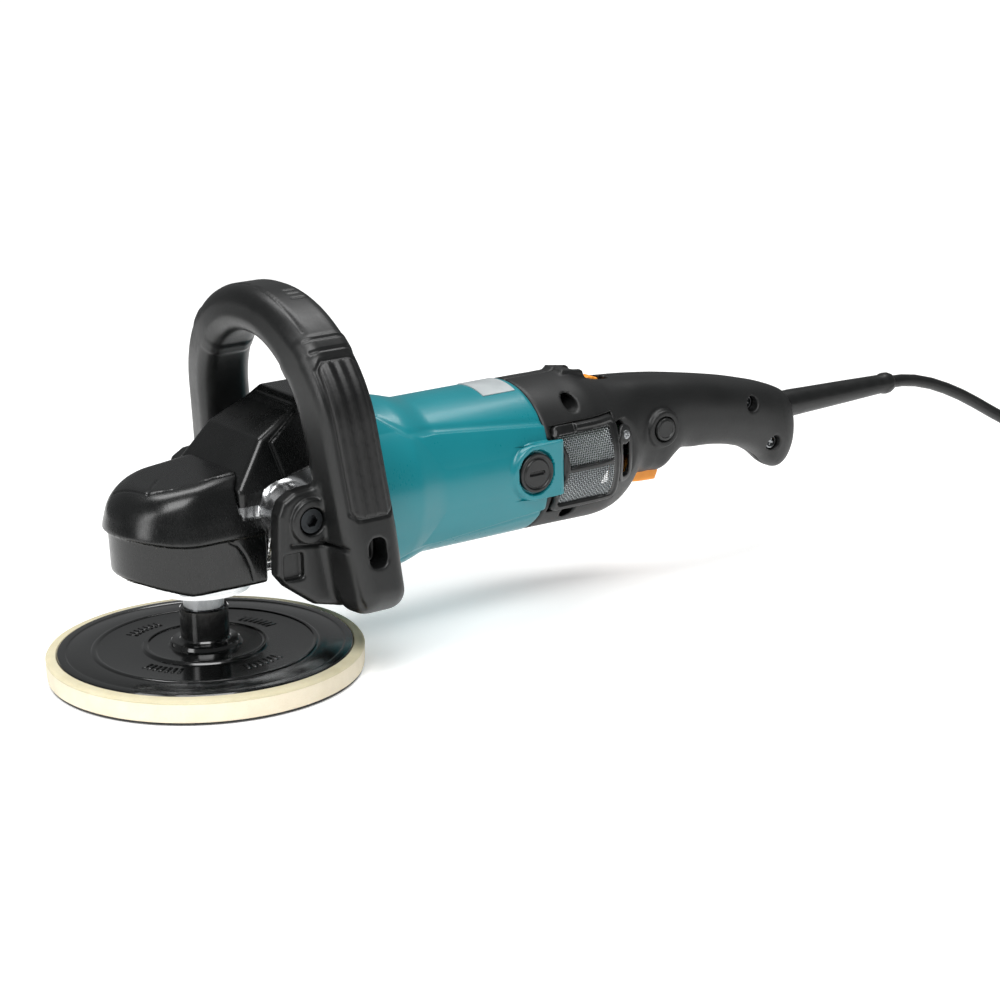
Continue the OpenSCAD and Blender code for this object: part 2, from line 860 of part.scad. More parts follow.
module cord_guard() {
    color("#1a1b1b") translate([0, 0, guard_z]) rotate([0, 90, 0]) rotate_extrude() polygon([
        [0, 404], [8.5, 404], [8.5, 421], [6, 498], [6.8, 499], [6.8, 503], [5.6, guard_end],
        [0, guard_end]
    ]);
}
module cord() {
    color("#1c1d1d") tube(cord_route, cord_d);
}
module cord_coil() {
    color("#1c1d1d") translate([coil_at[0], coil_at[1], 0]) rotate_extrude()
        translate([coil_inner - cord_d / 2, 0])
            square([coil_outer - coil_inner + cord_d, 2 * cord_d]);
}
module cord_tail() {
    color("#1c1d1d") tube(tail_route, cord_d);
}
module plug_body() {
    color("#1c1d1d") union() {
        x_rod(plug_at[0] - 14, plug_at[0], 5.5, plug_at[2], plug_at[1]);
        translate([plug_at[0] - 14, plug_at[1], plug_at[2]]) rotate([0, -90, 0])
            linear_extrude(30) square([20, 34], center = true);
    }
}
module plug_pins() {
    color("#c9cbcc") for (side = [-9.5, 9.5])
        x_rod(plug_at[0] - 63, plug_at[0] - 44, 2.4, plug_at[2], plug_at[1] + side);
}

// ---- Nodes ----

hook_face();
foam_pad();
backing_plate();
spindle();
bevel_gear();
layshaft();
bevel_pinion();
lay_gear();
armature_shaft();
armature_core();
armature_windings();
commutator();
fan();
motor_pinion();
gear_housing();
head_cover();
hood_cover();
bearing_retainer();
retainer_screws();
spindle_bearing_lower();
spindle_bearing_upper();
gearbox_bulkhead();
layshaft_bearings();
armature_bearings();
rear_bearing_bush();
motor_housing();
motor_screws();
stator_core();
stator_coils();
fan_baffle();
brush_holders();
carbon_brushes();
brush_caps();
rating_label();
handle_left();
handle_right();
handle_screws();
filter_frame_left();
filter_frame_right();
filter_meshes();
switch_body();
speed_controller();
cord_clamp();
trigger();
trigger_pin();
trigger_spring();
lock_button();
lock_button_spring();
speed_dial();
shaft_lock();
shaft_lock_spring();
loop_handle();
loop_grips();
loop_bolts();
cord_guard();
cord();
cord_coil();
cord_tail();
plug_body();
plug_pins();
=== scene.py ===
import functools
import math

import bmesh
import bpy
import numpy as np
from mathutils import Matrix, Vector


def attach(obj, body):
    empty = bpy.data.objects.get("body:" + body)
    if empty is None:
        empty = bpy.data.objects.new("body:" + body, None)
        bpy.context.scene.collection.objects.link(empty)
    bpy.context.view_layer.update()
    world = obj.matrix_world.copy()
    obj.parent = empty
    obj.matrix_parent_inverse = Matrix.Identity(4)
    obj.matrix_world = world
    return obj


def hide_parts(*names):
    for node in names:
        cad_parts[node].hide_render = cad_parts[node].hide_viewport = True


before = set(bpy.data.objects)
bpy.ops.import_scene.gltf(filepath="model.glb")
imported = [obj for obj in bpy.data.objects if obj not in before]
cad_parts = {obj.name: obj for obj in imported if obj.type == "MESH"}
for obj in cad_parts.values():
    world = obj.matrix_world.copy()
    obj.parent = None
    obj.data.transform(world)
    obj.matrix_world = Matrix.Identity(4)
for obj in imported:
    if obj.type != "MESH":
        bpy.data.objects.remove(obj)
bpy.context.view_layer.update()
print("frame loaded")


# camera: an eye-level product shot, a little above the tool and off its front left
camera = {"azimuth": -35.3, "elevation": 16.2, "roll": -1.04, "distance": 1.5,
          "lookAt": (0.197, 0.0, 0.060), "lens": 93.24, "sensor": 36.0}


def placeCamera():
    az, el, roll = (math.radians(camera[k]) for k in ("azimuth", "elevation", "roll"))
    back = Vector((math.sin(az) * math.cos(el), -math.cos(az) * math.cos(el), math.sin(el)))
    level = Vector((math.cos(az), math.sin(az), 0))
    lift = back.cross(level)
    right = math.cos(roll) * level + math.sin(roll) * lift
    up = -math.sin(roll) * level + math.cos(roll) * lift
    data = bpy.data.cameras.new("camera")
    data.lens, data.sensor_width = camera["lens"], camera["sensor"]
    data.clip_start, data.clip_end = 0.05, 60
    cam = bpy.data.objects.new("camera", data)
    turn = Matrix((right, up, back)).transposed().to_4x4()
    cam.matrix_world = Matrix.Translation(Vector(camera["lookAt"]) + back * camera["distance"]) @ turn
    bpy.context.scene.collection.objects.link(cam)
    bpy.context.scene.camera = cam


placeCamera()
bpy.context.scene.view_settings.view_transform = "Standard"


# ---- colours and node helpers ----

def linear(code):
    parts = [int(code[i:i + 2], 16) / 255 for i in (1, 3, 5)]
    return tuple(c / 12.92 if c <= 0.04045 else ((c + 0.055) / 1.055) ** 2.4 for c in parts) + (1.0,)


def addNode(tree, kind, links=None, **settings):
    node = tree.nodes.new(kind)
    for name, value in settings.items():
        setattr(node, name, value)
    for key, value in (links or {}).items():
        socket = node.inputs[key]
        if isinstance(value, bpy.types.NodeSocket):
            tree.links.new(value, socket)
        else:
            socket.default_value = value
    return node


def newMaterial(name, settings):
    material = bpy.data.materials.new(name)
    material.use_nodes = True
    tree = material.node_tree
    shader = tree.nodes["Principled BSDF"]
    for key, value in settings.items():
        shader.inputs[key].default_value = value
    where = addNode(tree, "ShaderNodeTexCoord").outputs["Object"]
    return material, tree, shader, where


# noise of one real grain size, in millimetres
def grain(tree, where, size, detail=3.0, stretch=None):
    if stretch:
        where = addNode(tree, "ShaderNodeMapping", {"Vector": where, "Scale": stretch}).outputs[0]
    noise = {"Vector": where, "Scale": 1000 / size, "Detail": detail}
    return addNode(tree, "ShaderNodeTexNoise", noise).outputs["Fac"]


# values from a noise, spread between two ends
def spread(tree, value, low, high, fromLow=0.3, fromHigh=0.7):
    ends = {"Value": value, "From Min": fromLow, "From Max": fromHigh, "To Min": low, "To Max": high}
    return addNode(tree, "ShaderNodeMapRange", ends).outputs["Result"]


def tint(tree, value, first, second, low=0.3, high=0.7):
    ramp = addNode(tree, "ShaderNodeValToRGB", {"Fac": value})
    ramp.color_ramp.elements[0].position, ramp.color_ramp.elements[0].color = low, linear(first)
    ramp.color_ramp.elements[1].position, ramp.color_ramp.elements[1].color = high, linear(second)
    return ramp.outputs["Color"]


def bumpUp(tree, shader, height, depth, strength=1.0, under=None):
    links = {"Height": height, "Distance": depth / 1000, "Strength": strength}
    if under is not None:
        links["Normal"] = under
    bump = addNode(tree, "ShaderNodeBump", links)
    tree.links.new(bump.outputs["Normal"], shader.inputs["Normal"])
    return bump.outputs["Normal"]


# a moulded plastic or rubber: cloudy gloss, a fine texture from the mould and faint scuffs
def moulded(name, look):
    material, tree, shader, where = newMaterial(name, {
        "IOR": look.get("ior", 1.5), "Coat Weight": look.get("coat", 0.0), "Coat Roughness": 0.12,
        "Specular IOR Level": look.get("specular", 0.5)})
    cloud = grain(tree, where, look["cloudMm"], 4)
    tree.links.new(tint(tree, cloud, *look["colours"]), shader.inputs["Base Color"])
    low, high = look["roughness"]
    rough = spread(tree, cloud, low, high)
    scuff = grain(tree, where, 0.9, 5, (1, 1, 0.25))
    total = addNode(tree, "ShaderNodeMath", {0: rough, 1: spread(tree, scuff, -0.03, 0.05)},
                    operation="ADD")
    tree.links.new(total.outputs[0], shader.inputs["Roughness"])
    wave = bumpUp(tree, shader, cloud, look.get("waveMm", 0.05), 0.5)
    bumpUp(tree, shader, grain(tree, where, look["grainMm"], 2), look["grainDeepMm"], 1.0, wave)
    return material


# a metal: tool marks stretched along one direction, and gloss that varies with them
def metal(name, look):
    material, tree, shader, where = newMaterial(name, {"Metallic": 1.0})
    marks = grain(tree, where, look["markMm"], 4, look["stretch"])
    cloud = grain(tree, where, 14, 3)
    tree.links.new(tint(tree, cloud, *look["colours"]), shader.inputs["Base Color"])
    low, high = look["roughness"]
    tree.links.new(spread(tree, marks, low, high), shader.inputs["Roughness"])
    bumpUp(tree, shader, marks, look["markDeepMm"])
    return material


# thermoplastic elastomer over the gear head: nearly black, satin, wavy where it follows the casting
nitrileCover = moulded("nitrileCover", {"colours": ("#070808", "#0c0d0d"), "cloudMm": 16, "waveMm": 0.22,
                                        "roughness": (0.22, 0.3), "grainMm": 0.5, "grainDeepMm": 0.006})
# glass-filled nylon loop: satin with a long flow pattern
loopNylon = moulded("loopNylon", {"colours": ("#090a0a", "#0f1010"), "cloudMm": 22, "waveMm": 0.16,
                                  "roughness": (0.32, 0.44), "grainMm": 0.6, "grainDeepMm": 0.01})
# soft grip insert on the loop's legs: duller than the nylon round it
gripElastomer = moulded("gripElastomer", {"colours": ("#090909", "#0f0f0f"), "cloudMm": 9, "waveMm": 0.1,
                                          "roughness": (0.36, 0.48), "grainMm": 0.5, "grainDeepMm": 0.008})
# rear handle in spark-eroded nylon: a fine even texture, so broad soft highlights
handleNylon = moulded("handleNylon", {"colours": ("#0a0b0b", "#0f1010"), "cloudMm": 26, "waveMm": 0.12,
                                      "roughness": (0.42, 0.52), "grainMm": 0.7, "grainDeepMm": 0.016})
# coloured nylon of the motor housing: a smooth mould, a clean gloss
tealNylon = moulded("tealNylon", {"colours": ("#06757f", "#087c86"), "cloudMm": 40, "waveMm": 0.05,
                                  "coat": 0.12, "roughness": (0.28, 0.36), "grainMm": 0.6,
                                  "grainDeepMm": 0.004})
# acetal for the buttons and caps
blackAcetal = moulded("blackAcetal", {"colours": ("#0c0d0d", "#131414"), "cloudMm": 8, "waveMm": 0.02,
                                      "roughness": (0.3, 0.4), "grainMm": 0.4, "grainDeepMm": 0.005})
# dyed nylon of the trigger and the dial
orangeNylon = moulded("orangeNylon", {"colours": ("#ee8f1f", "#f7a035"), "cloudMm": 12, "waveMm": 0.02,
                                      "roughness": (0.35, 0.46), "grainMm": 0.5, "grainDeepMm": 0.006})
# polished ABS of the backing plate
plateAbs = moulded("plateAbs", {"colours": ("#060707", "#0a0b0b"), "cloudMm": 30, "waveMm": 0.06,
                                "coat": 0.5, "roughness": (0.12, 0.2), "grainMm": 0.6,
                                "grainDeepMm": 0.002})
# extruded PVC or rubber jacket of the lead
leadRubber = moulded("leadRubber", {"colours": ("#0b0c0c", "#111212"), "cloudMm": 6, "waveMm": 0.02,
                                    "roughness": (0.36, 0.46), "grainMm": 0.4, "grainDeepMm": 0.006})
# plain moulded parts inside
innerNylon = moulded("innerNylon", {"colours": ("#1e2124", "#272a2d"), "cloudMm": 10, "waveMm": 0.02,
                                    "roughness": (0.5, 0.6), "grainMm": 0.5, "grainDeepMm": 0.006})
# potted circuit block
pottedBoard = moulded("pottedBoard", {"colours": ("#24452f", "#31553c"), "cloudMm": 4, "waveMm": 0.05,
                                      "roughness": (0.35, 0.5), "grainMm": 0.6, "grainDeepMm": 0.02})
# printed film label, left blank
labelFilm = moulded("labelFilm", {"colours": ("#a4aaac", "#b4babb"), "cloudMm": 12, "waveMm": 0.01,
                                  "coat": 0.3, "roughness": (0.3, 0.38), "grainMm": 0.5,
                                  "grainDeepMm": 0.002})
# polished die-cast aluminium: bright with soft, slightly wavy reflections
castAluminium = metal("castAluminium", {"colours": ("#d6d7d8", "#e4e5e6"), "markMm": 7.0,
                                        "stretch": (1, 1, 0.6), "roughness": (0.2, 0.28),
                                        "markDeepMm": 0.015})
# turned aluminium ring: fine rings from the lathe
turnedAluminium = metal("turnedAluminium", {"colours": ("#d2d4d5", "#e6e7e8"), "markMm": 0.6,
                                            "stretch": (0.04, 0.04, 1), "roughness": (0.2, 0.34),
                                            "markDeepMm": 0.006})
# ground or turned steel
turnedSteel = metal("turnedSteel", {"colours": ("#8f9294", "#a9abad"), "markMm": 0.5,
                                    "stretch": (1, 1, 0.1), "roughness": (0.25, 0.38),
                                    "markDeepMm": 0.005})
# hardened bearing steel
bearingSteel = metal("bearingSteel", {"colours": ("#b4b7ba", "#c6c8ca"), "markMm": 0.5,
                                      "stretch": (0.1, 0.1, 1), "roughness": (0.12, 0.2),
                                      "markDeepMm": 0.002})
# black-oxide bolt
blackOxide = metal("blackOxide", {"colours": ("#303234", "#3f4244"), "markMm": 0.5, "stretch": (1, 1, 1),
                                  "roughness": (0.3, 0.42), "markDeepMm": 0.006})
# enamelled copper and stamped brass
enamelledCopper = metal("enamelledCopper", {"colours": ("#a85f2c", "#bf7138"), "markMm": 0.8,
                                            "stretch": (1, 0.1, 0.1), "roughness": (0.25, 0.4),
                                            "markDeepMm": 0.08})
stampedBrass = metal("stampedBrass", {"colours": ("#b0904f", "#c7a763"), "markMm": 0.5,
                                      "stretch": (1, 0.3, 0.3), "roughness": (0.25, 0.36),
                                      "markDeepMm": 0.005})
# stacked laminations, seen edge on
lamination = metal("lamination", {"colours": ("#56595c", "#6b6e71"), "markMm": 0.5,
                                  "stretch": (1, 0.02, 0.02), "roughness": (0.35, 0.5),
                                  "markDeepMm": 0.04})
# woven stainless wire
wovenWire = metal("wovenWire", {"colours": ("#a3a7a9", "#b8bcbd"), "markMm": 0.5, "stretch": (1, 1, 1),
                                "roughness": (0.28, 0.4), "markDeepMm": 0.003})
# nickel-plated plug pins
nickelPlate = metal("nickelPlate", {"colours": ("#c9c6c0", "#dad8d3"), "markMm": 0.4,
                                    "stretch": (0.1, 1, 1), "roughness": (0.12, 0.22),
                                    "markDeepMm": 0.003})


# open-cell polyurethane foam: cream, matt, with small round cells cut through at the rim, the hollow of each
# cell darkened with painted shade
def makeFoam(name, look):
    base = {"Roughness": 0.88, "Specular IOR Level": 0.25, "Subsurface Weight": 0.08,
            "Subsurface Scale": 0.004}
    material, tree, shader, where = newMaterial(name, base)
    shader.inputs["Subsurface Radius"].default_value = (1.0, 0.7, 0.4)
    cells = addNode(tree, "ShaderNodeTexVoronoi", {"Vector": where, "Scale": 1000 / look["cellMm"]})
    broad = grain(tree, where, 9, 4)
    colour = tint(tree, broad, *look["colours"])
    # painted shade: the bottom of each cell is tinted towards a darker colour
    shadedPits = tint(tree, cells.outputs["Distance"], look["pitShadeColour"], look["colours"][1], 0.0, 0.32)
    mixed = addNode(tree, "ShaderNodeMix", {"Factor": 0.3, 6: colour, 7: shadedPits}, data_type="RGBA")
    tree.links.new(mixed.outputs[2], shader.inputs["Base Color"])
    bumpUp(tree, shader, cells.outputs["Distance"], look["cellDeepMm"], 0.8)
    return material


polyFoam = makeFoam("polyFoam", {"cellMm": 0.9, "cellDeepMm": 0.12, "pitShadeColour": "#c9b993",
                                 "colours": ("#ddd2bb", "#e8dec9")})
tanFoam = makeFoam("tanFoam", {"cellMm": 0.8, "cellDeepMm": 0.08, "pitShadeColour": "#a59a78",
                               "colours": ("#c8bf9f", "#d3cbae")})


# hook tape: tiny upright hooks, drawn as a fine dark weave
def makeHookTape():
    material, tree, shader, where = newMaterial("hookTape", {"Roughness": 0.85, "Sheen Weight": 0.3})
    loops = addNode(tree, "ShaderNodeTexVoronoi", {"Vector": where, "Scale": 1000 / 1.2})
    tree.links.new(tint(tree, loops.outputs["Distance"], "#3c3c3a", "#1d1d1d", 0.1, 0.5),
                   shader.inputs["Base Color"])
    bumpUp(tree, shader, loops.outputs["Distance"], 0.25, 0.7)
    return material


hookTape = makeHookTape()

# pressed carbon of the brushes
pressedCarbon = moulded("pressedCarbon", {"colours": ("#1b1b1c", "#2a2a2b"), "cloudMm": 3, "waveMm": 0.02,
                                          "roughness": (0.45, 0.6), "grainMm": 0.4, "grainDeepMm": 0.01})
print("materials made")


# ---- mesh helpers, all in millimetres until the mesh is made ----

def addPiece(name, points, faces, material, body, slot, angle=None, replaces=()):
    mesh = bpy.data.meshes.new(name)
    faces = faces.tolist() if isinstance(faces, np.ndarray) else faces
    mesh.from_pydata((np.asarray(points, float) * 0.001).tolist(), [], faces)
    mesh.materials.append(material)
    piece = bpy.data.objects.new(name, mesh)
    bpy.context.scene.collection.objects.link(piece)
    return finishPiece(piece, body, angle, replaces)


def finishPiece(piece, body, angle=None, replaces=()):
    piece.data.shade_smooth()
    if angle:
        piece.data.set_sharp_from_angle(angle=math.radians(angle))
    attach(piece, body)
    if replaces:
        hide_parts(*replaces)
    return piece


def smoothMax(a, b, k):
    h = np.clip(0.5 + 0.5 * (a - b) / k, 0, 1)
    return b + (a - b) * h + k * h * (1 - h)


def smoothMin(a, b, k):
    return -smoothMax(-a, -b, k)


def both(*fields):
    return functools.reduce(np.maximum, fields)


# takes a tool's shape out of a field, with a rounded edge where a radius is given
def cut(field, tool, radius=0.0):
    return smoothMax(field, -tool, radius) if radius else np.maximum(field, -tool)


def ease(t):
    t = np.clip(t, 0, 1)
    return t * t * (3 - 2 * t)


def space(low, high, step):
    axes = [np.arange(a, b + step, step, dtype=np.float32) for a, b in zip(low, high)]
    return axes[0][:, None, None], axes[1][None, :, None], axes[2][None, None, :]


# signed distance to an outline, for any two of the axes
def outlineField(u, v, points):
    best, inside = None, None
    for (au, av), (bu, bv) in zip(points, points[1:] + points[:1]):
        eu, ev, wu, wv = bu - au, bv - av, u - au, v - av
        t = np.clip((wu * eu + wv * ev) / (eu * eu + ev * ev), 0, 1)
        gap = (wu - t * eu) ** 2 + (wv - t * ev) ** 2
        crossed = ((av <= v) != (bv <= v)) & ((wu * ev < wv * eu) == (ev > 0))
        best = gap if best is None else np.minimum(best, gap)
        inside = crossed if inside is None else inside ^ crossed
    return np.where(inside, -1, 1) * np.sqrt(best)


def between(along, low, high):
    return np.maximum(low - along, along - high)


def rodField(u, v, cu, cv, r, along, low, high, k=0.0):
    side = np.hypot(u - cu, v - cv) - r
    ends = between(along, low, high)
    return smoothMax(side, ends, k) if k else np.maximum(side, ends)


# turns a field into quads: one point per cell that the surface crosses
def meshField(field, low, step, rounds=3):
    field = np.ascontiguousarray(field)
    inside = field < 0
    size = tuple(n - 1 for n in field.shape)
    count = np.zeros(size, np.int8)
    for dx in (0, 1):
        for dy in (0, 1):
            for dz in (0, 1):
                count += inside[dx:dx + size[0], dy:dy + size[1], dz:dz + size[2]]
    active = (count > 0) & (count < 8)
    spots = np.argwhere(active)
    number = np.full(size, -1, np.int32)
    number[active] = np.arange(len(spots))
    total, hits = np.zeros((len(spots), 3)), np.zeros(len(spots))
    for axis in range(3):
        for a in (0, 1):
            for b in (0, 1):
                start = np.zeros(3, int)
                start[(axis + 1) % 3], start[(axis + 2) % 3] = a, b
                p = spots + start
                q = p.copy()
                q[:, axis] += 1
                fp, fq = field[tuple(p.T)], field[tuple(q.T)]
                cross = (fp < 0) != (fq < 0)
                total[cross] += start
                total[cross, axis] += fp[cross] / (fp[cross] - fq[cross])
                hits[cross] += 1
    points = np.array(low) + step * (spots + total / hits[:, None])
    quads = []
    for axis in range(3):
        b, c = (axis + 1) % 3, (axis + 2) % 3
        here = [slice(1, -1)] * 3
        here[axis] = slice(0, -1)
        there = list(here)
        there[axis] = slice(1, None)
        solid, change = inside[tuple(here)], inside[tuple(here)] != inside[tuple(there)]
        at = np.argwhere(change)
        at[:, b] += 1
        at[:, c] += 1
        corners = []
        for db, dc in ((-1, -1), (0, -1), (0, 0), (-1, 0)):
            cell = at.copy()
            cell[:, b] += db
            cell[:, c] += dc
            corners.append(number[tuple(cell.T)])
        quad = np.stack(corners, 1)
        flip = ~solid[change]
        quad[flip] = quad[flip][:, ::-1]
        quads.append(quad)
    faces = np.concatenate(quads)
    return relax(points, faces, rounds), faces


# evens the points out without shrinking the shape
def relax(points, faces, rounds):
    a, b = faces.ravel(), np.roll(faces, -1, axis=1).ravel()
    total = np.bincount(a, minlength=len(points)) + np.bincount(b, minlength=len(points))
    for _ in range(rounds):
        for share in (0.5, -0.52):
            mean = np.stack([np.bincount(a, points[b, i], len(points)) +
                             np.bincount(b, points[a, i], len(points)) for i in range(3)], 1)
            mean = mean / total[:, None]
            points = points + share * (mean - points)
    return points


def normalsOf(points, faces):
    n = np.cross(points[faces[:, 2]] - points[faces[:, 0]], points[faces[:, 3]] - points[faces[:, 1]])
    out = np.stack([np.bincount(faces.ravel(), np.repeat(n[:, i], 4), len(points)) for i in range(3)], 1)
    return out / np.maximum(np.linalg.norm(out, axis=1, keepdims=True), 1e-9)


# distance from points to a path of straight lengths, in three axes or two
def pathGap(points, path):
    path = np.array(path, float)
    best = np.full(len(points), 1e9)
    for a, b in zip(path[:-1], path[1:]):
        along = b - a
        t = np.clip(((points - a) @ along) / (along @ along), 0, 1)
        gap = np.linalg.norm(points - a - t[:, None] * along, axis=1)
        best = np.minimum(best, gap)
    return best


def sculpt(name, field, low, step, material, body, slot, replaces=(), rounds=3):
    return addPiece(name, *meshField(field, low, step, rounds), material, body, slot, None, replaces)


# sinks (or lifts) a line into a mesh; flat names the two axes that the path is drawn in
def carve(points, normals, path, width, depth, flat=None, where=None):
    seen = points[:, flat] if flat else points
    gap = pathGap(seen, path)
    amount = depth * ease((width * 0.5 + 0.5 - gap) / 0.9)
    if where is not None:
        amount = amount * where
    return points - normals * amount[:, None]


# a shape turned on a lathe: radius and height pairs, round Z or X
def turned(name, profile, centre, axis, material, body, slot, segments=128, angle=35, replaces=()):
    points, faces, n = [], [], len(profile)
    for i in range(segments):
        a = 2 * math.pi * i / segments
        for r, h in profile:
            u, v = r * math.cos(a), r * math.sin(a)
            points.append((centre[0] + u, centre[1] + v, centre[2] + h) if axis == "z"
                          else (centre[0] + h, centre[1] + u, centre[2] + v) if axis == "x"
                          else (centre[0] + v, centre[1] + h, centre[2] + u))
        for k in range(n):
            j, m = (i + 1) % segments, (k + 1) % n
            faces.append((i * n + k, j * n + k, j * n + m, i * n + m))
    piece = addPiece(name, points, faces, material, body, slot, None, replaces)
    tidyMesh(piece, angle)
    return piece


# closes poles, drops faces without area and points every face outwards
def tidyMesh(piece, angle=None):
    work = bmesh.new()
    work.from_mesh(piece.data)
    bmesh.ops.remove_doubles(work, verts=work.verts, dist=1e-6)
    bmesh.ops.dissolve_degenerate(work, edges=work.edges, dist=1e-7)
    bmesh.ops.recalc_face_normals(work, faces=work.faces)
    work.to_mesh(piece.data)
    work.free()
    piece.data.shade_smooth()
    if angle:
        piece.data.set_sharp_from_angle(angle=math.radians(angle))


# ---- mains lead: it droops from the guard to the floor and is wound into a coil of two layers ----

lead = {"diameter": 8.0, "length": 2.5, "coilAt": (690.0, -75.0), "inner": 34.0, "outer": 62.0,
        "turns": 3.5}


def leadRoute():
    start = [(506, 0, 82.5), (516, 0, 82), (528, 0, 80), (542, 0, 76), (556, 0, 70.5), (570, 0, 64),
             (584, 0, 56.5), (598, 0, 48.5), (612, -1, 40.5), (626, -3, 33), (640, -6, 26.5),
             (654, -9, 20.5), (668, -12, 15.5), (680, -13, 12.7)]
    end = [(681, -137, 4), (672, -136, 4.5), (663, -134, 5.5), (655, -132, 7), (648, -130, 8.5),
           (642, -129, 9.6), (636, -128, 10)]
    (cx, cy), inner, outer, turns = lead["coilAt"], lead["inner"], lead["outer"], lead["turns"]
    winding, steps = [], 32
    total = int((2 * turns + 0.5) * steps)
    for i in range(total + 1):
        t = i / steps
        if t <= turns:
            r, z = outer - (outer - inner) * t / turns, 12.0
        elif t <= turns + 0.5:
            r, z = inner, 12 - 8 * float(ease((t - turns) / 0.5))
        else:
            r, z = inner + (outer - inner) * (t - turns - 0.5) / turns, 4.0
        a = math.pi / 2 - 2 * math.pi * t
        winding.append((cx + r * math.cos(a), cy + r * math.sin(a), z))
    return start + winding + end


def makeLead():
    route = leadRoute()
    curve = bpy.data.curves.new("mainsLead", "CURVE")
    curve.dimensions = "3D"
    spline = curve.splines.new("POLY")
    spline.points.add(len(route) - 1)
    for point, p in zip(spline.points, route):
        point.co = (*(c * 0.001 for c in p), 1)
    curve.bevel_depth = lead["diameter"] / 2000
    curve.bevel_resolution = 3
    curve.use_fill_caps = True
    curve.materials.append(leadRubber)
    piece = bpy.data.objects.new("mainsLead", curve)
    bpy.context.scene.collection.objects.link(piece)
    spline.use_smooth = True
    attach(piece, "housing")
    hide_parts("cord", "cord_coil", "cord_tail")
    return piece


mainsLead = makeLead()


# ---- plug: a two-pin plug with a ribbed grip and a short tapered relief ----

plug = {"at": (-128.0, 10.0), "half": (17.0, 10.0), "ribs": 5}


def makePlug():
    low, high, step = (588, -150, -2), (640, -106, 22), 0.7
    x, y, z = space(low, high, step)
    cy, cz = plug["at"]
    waist = 1 - 0.16 * ease((x - 604) / 10)
    section = ((np.abs(y - cy) / (plug["half"][0] * waist)) ** 3.2 +
               (np.abs(z - cz) / (plug["half"][1] * waist)) ** 3.2) ** (1 / 3.2) - 1
    body = smoothMax(section * plug["half"][1], between(x, 592, 622), 2.5)
    relief = smoothMax(np.hypot(y - cy, z - cz) - (5.6 - (x - 622) * 0.06), between(x, 618, 636), 0.8)
    field = smoothMin(body, relief, 2.0)
    for i in range(plug["ribs"]):  # finger grooves across the grip
        ring = np.hypot(x - (602 + 4 * i), np.abs(y - cy) - plug["half"][0]) - 1.1
        field = cut(field, ring, 0.6)
    field = cut(field, z)
    return sculpt("plugBody", field, low, step, leadRubber, "housing", "plug_plastic", ("plug_body",))


plugBody = makePlug()


# tapered strain relief that the lead leaves by, with a bead at its end
guard = {"z": 82.5, "profile": [(0, 400), (8.4, 400), (8.4, 414), (8.5, 421), (8.1, 432), (7.6, 450),
                                (7.0, 470), (6.3, 490), (6.1, 497), (6.7, 498.5), (6.9, 500.5),
                                (6.7, 503), (5.6, 505.6), (4.3, 506), (0, 506)]}
cordGuard = turned("cordGuard", guard["profile"], (0, 0, guard["z"]), "x", leadRubber, "housing",
                   "cord_rubber", 64, 50, ("cord_guard",))
print("lead laid")


# ---- pad and backing plate ----

pad = {"radius": 86.0, "plateRadius": 80.1, "bulge": 0.8}


def makePad():
    r, edge = pad["radius"], pad["plateRadius"]
    rim = [(r - 1.6, 1.6), (r - 0.5, 2.2)]
    rim += [(r - 0.4 + pad["bulge"] * math.sin(math.pi * k / 8) * 0.5, 2.6 + k * 1.25) for k in range(9)]
    profile = [(0, 1.6)] + rim + [(r - 0.9, 13.4), (r - 1.9, 13.9), (edge + 0.2, 14.1),
                                  (edge + 0.2, 10.9), (0, 10.9)]
    foam = turned("foamPad", profile, (0, 0, 0), "z", polyFoam, "spindle", "foam", 192, 50, ("foam_pad",))
    lip = [(edge + 0.25, 14.1), (edge + 0.25, 11.4), (r - 1.2, 11.4), (r - 0.2, 12.0), (r + 0.1, 12.9),
           (r - 0.5, 13.9), (r - 1.7, 14.5), (edge + 0.6, 14.6)]
    turned("foamLip", lip, (0, 0, 0), "z", tanFoam, "spindle", "foam", 192, 40)
    face = [(0, 0), (r - 2.6, 0), (r - 1.4, 0.4), (r - 1.0, 1.0), (r - 1.5, 1.58), (0, 1.58)]
    turned("hookFace", face, (0, 0, 0), "z", hookTape, "spindle", "hook", 192, 40, ("hook_face",))


makePad()


def makePlate():
    edge = pad["plateRadius"]
    profile = [(0, 11), (edge - 0.3, 11), (edge, 11.4), (edge, 14.2), (edge - 0.5, 15.0),
               (edge - 1.6, 15.25), (edge - 4.6, 15.2), (edge - 5.2, 14.9), (edge - 6.2, 14.9),
               (edge - 6.8, 15.1), (61.8, 15.1), (61.2, 15.6), (60.6, 15.85), (59.4, 15.85),
               (58.8, 15.6), (58.2, 15.2), (57.4, 15.1), (34.8, 15.2), (34.2, 16.0), (33.4, 16.6),
               (32.0, 16.7), (31.4, 16.5), (30.6, 15.9), (29.6, 15.8), (20.2, 15.9), (19.2, 16.6),
               (18.6, 18.4), (17.8, 19.0), (15.4, 19.2), (13.9, 19.7), (13.3, 20.6), (13.2, 22),
               (13.2, 36.6), (12.5, 37.4), (7.1, 37.5), (7.1, 12.9), (0, 12.9)]
    return turned("backingPlate", profile, (0, 0, 0), "z", plateAbs, "spindle", "plate_black", 192, 24,
                  ("backing_plate",))


backingPlate = makePlate()
print("pad and plate made")


# ---- gear head: rubber nose and hood over a polished casting ----

head = {"noseCentre": -15.0, "halfWidth": 38.0, "roof": 108.2, "slope": 0.128, "cover": 3.0, "lip": 83.0,
        "lipInset": 1.0, "lipInsetFront": 1.8, "bolt": (32.0, 93.0), "lock": (0.0, 88.0)}


def boltGap(x, z):
    return np.hypot(x - head["bolt"][0], z - head["bolt"][1])


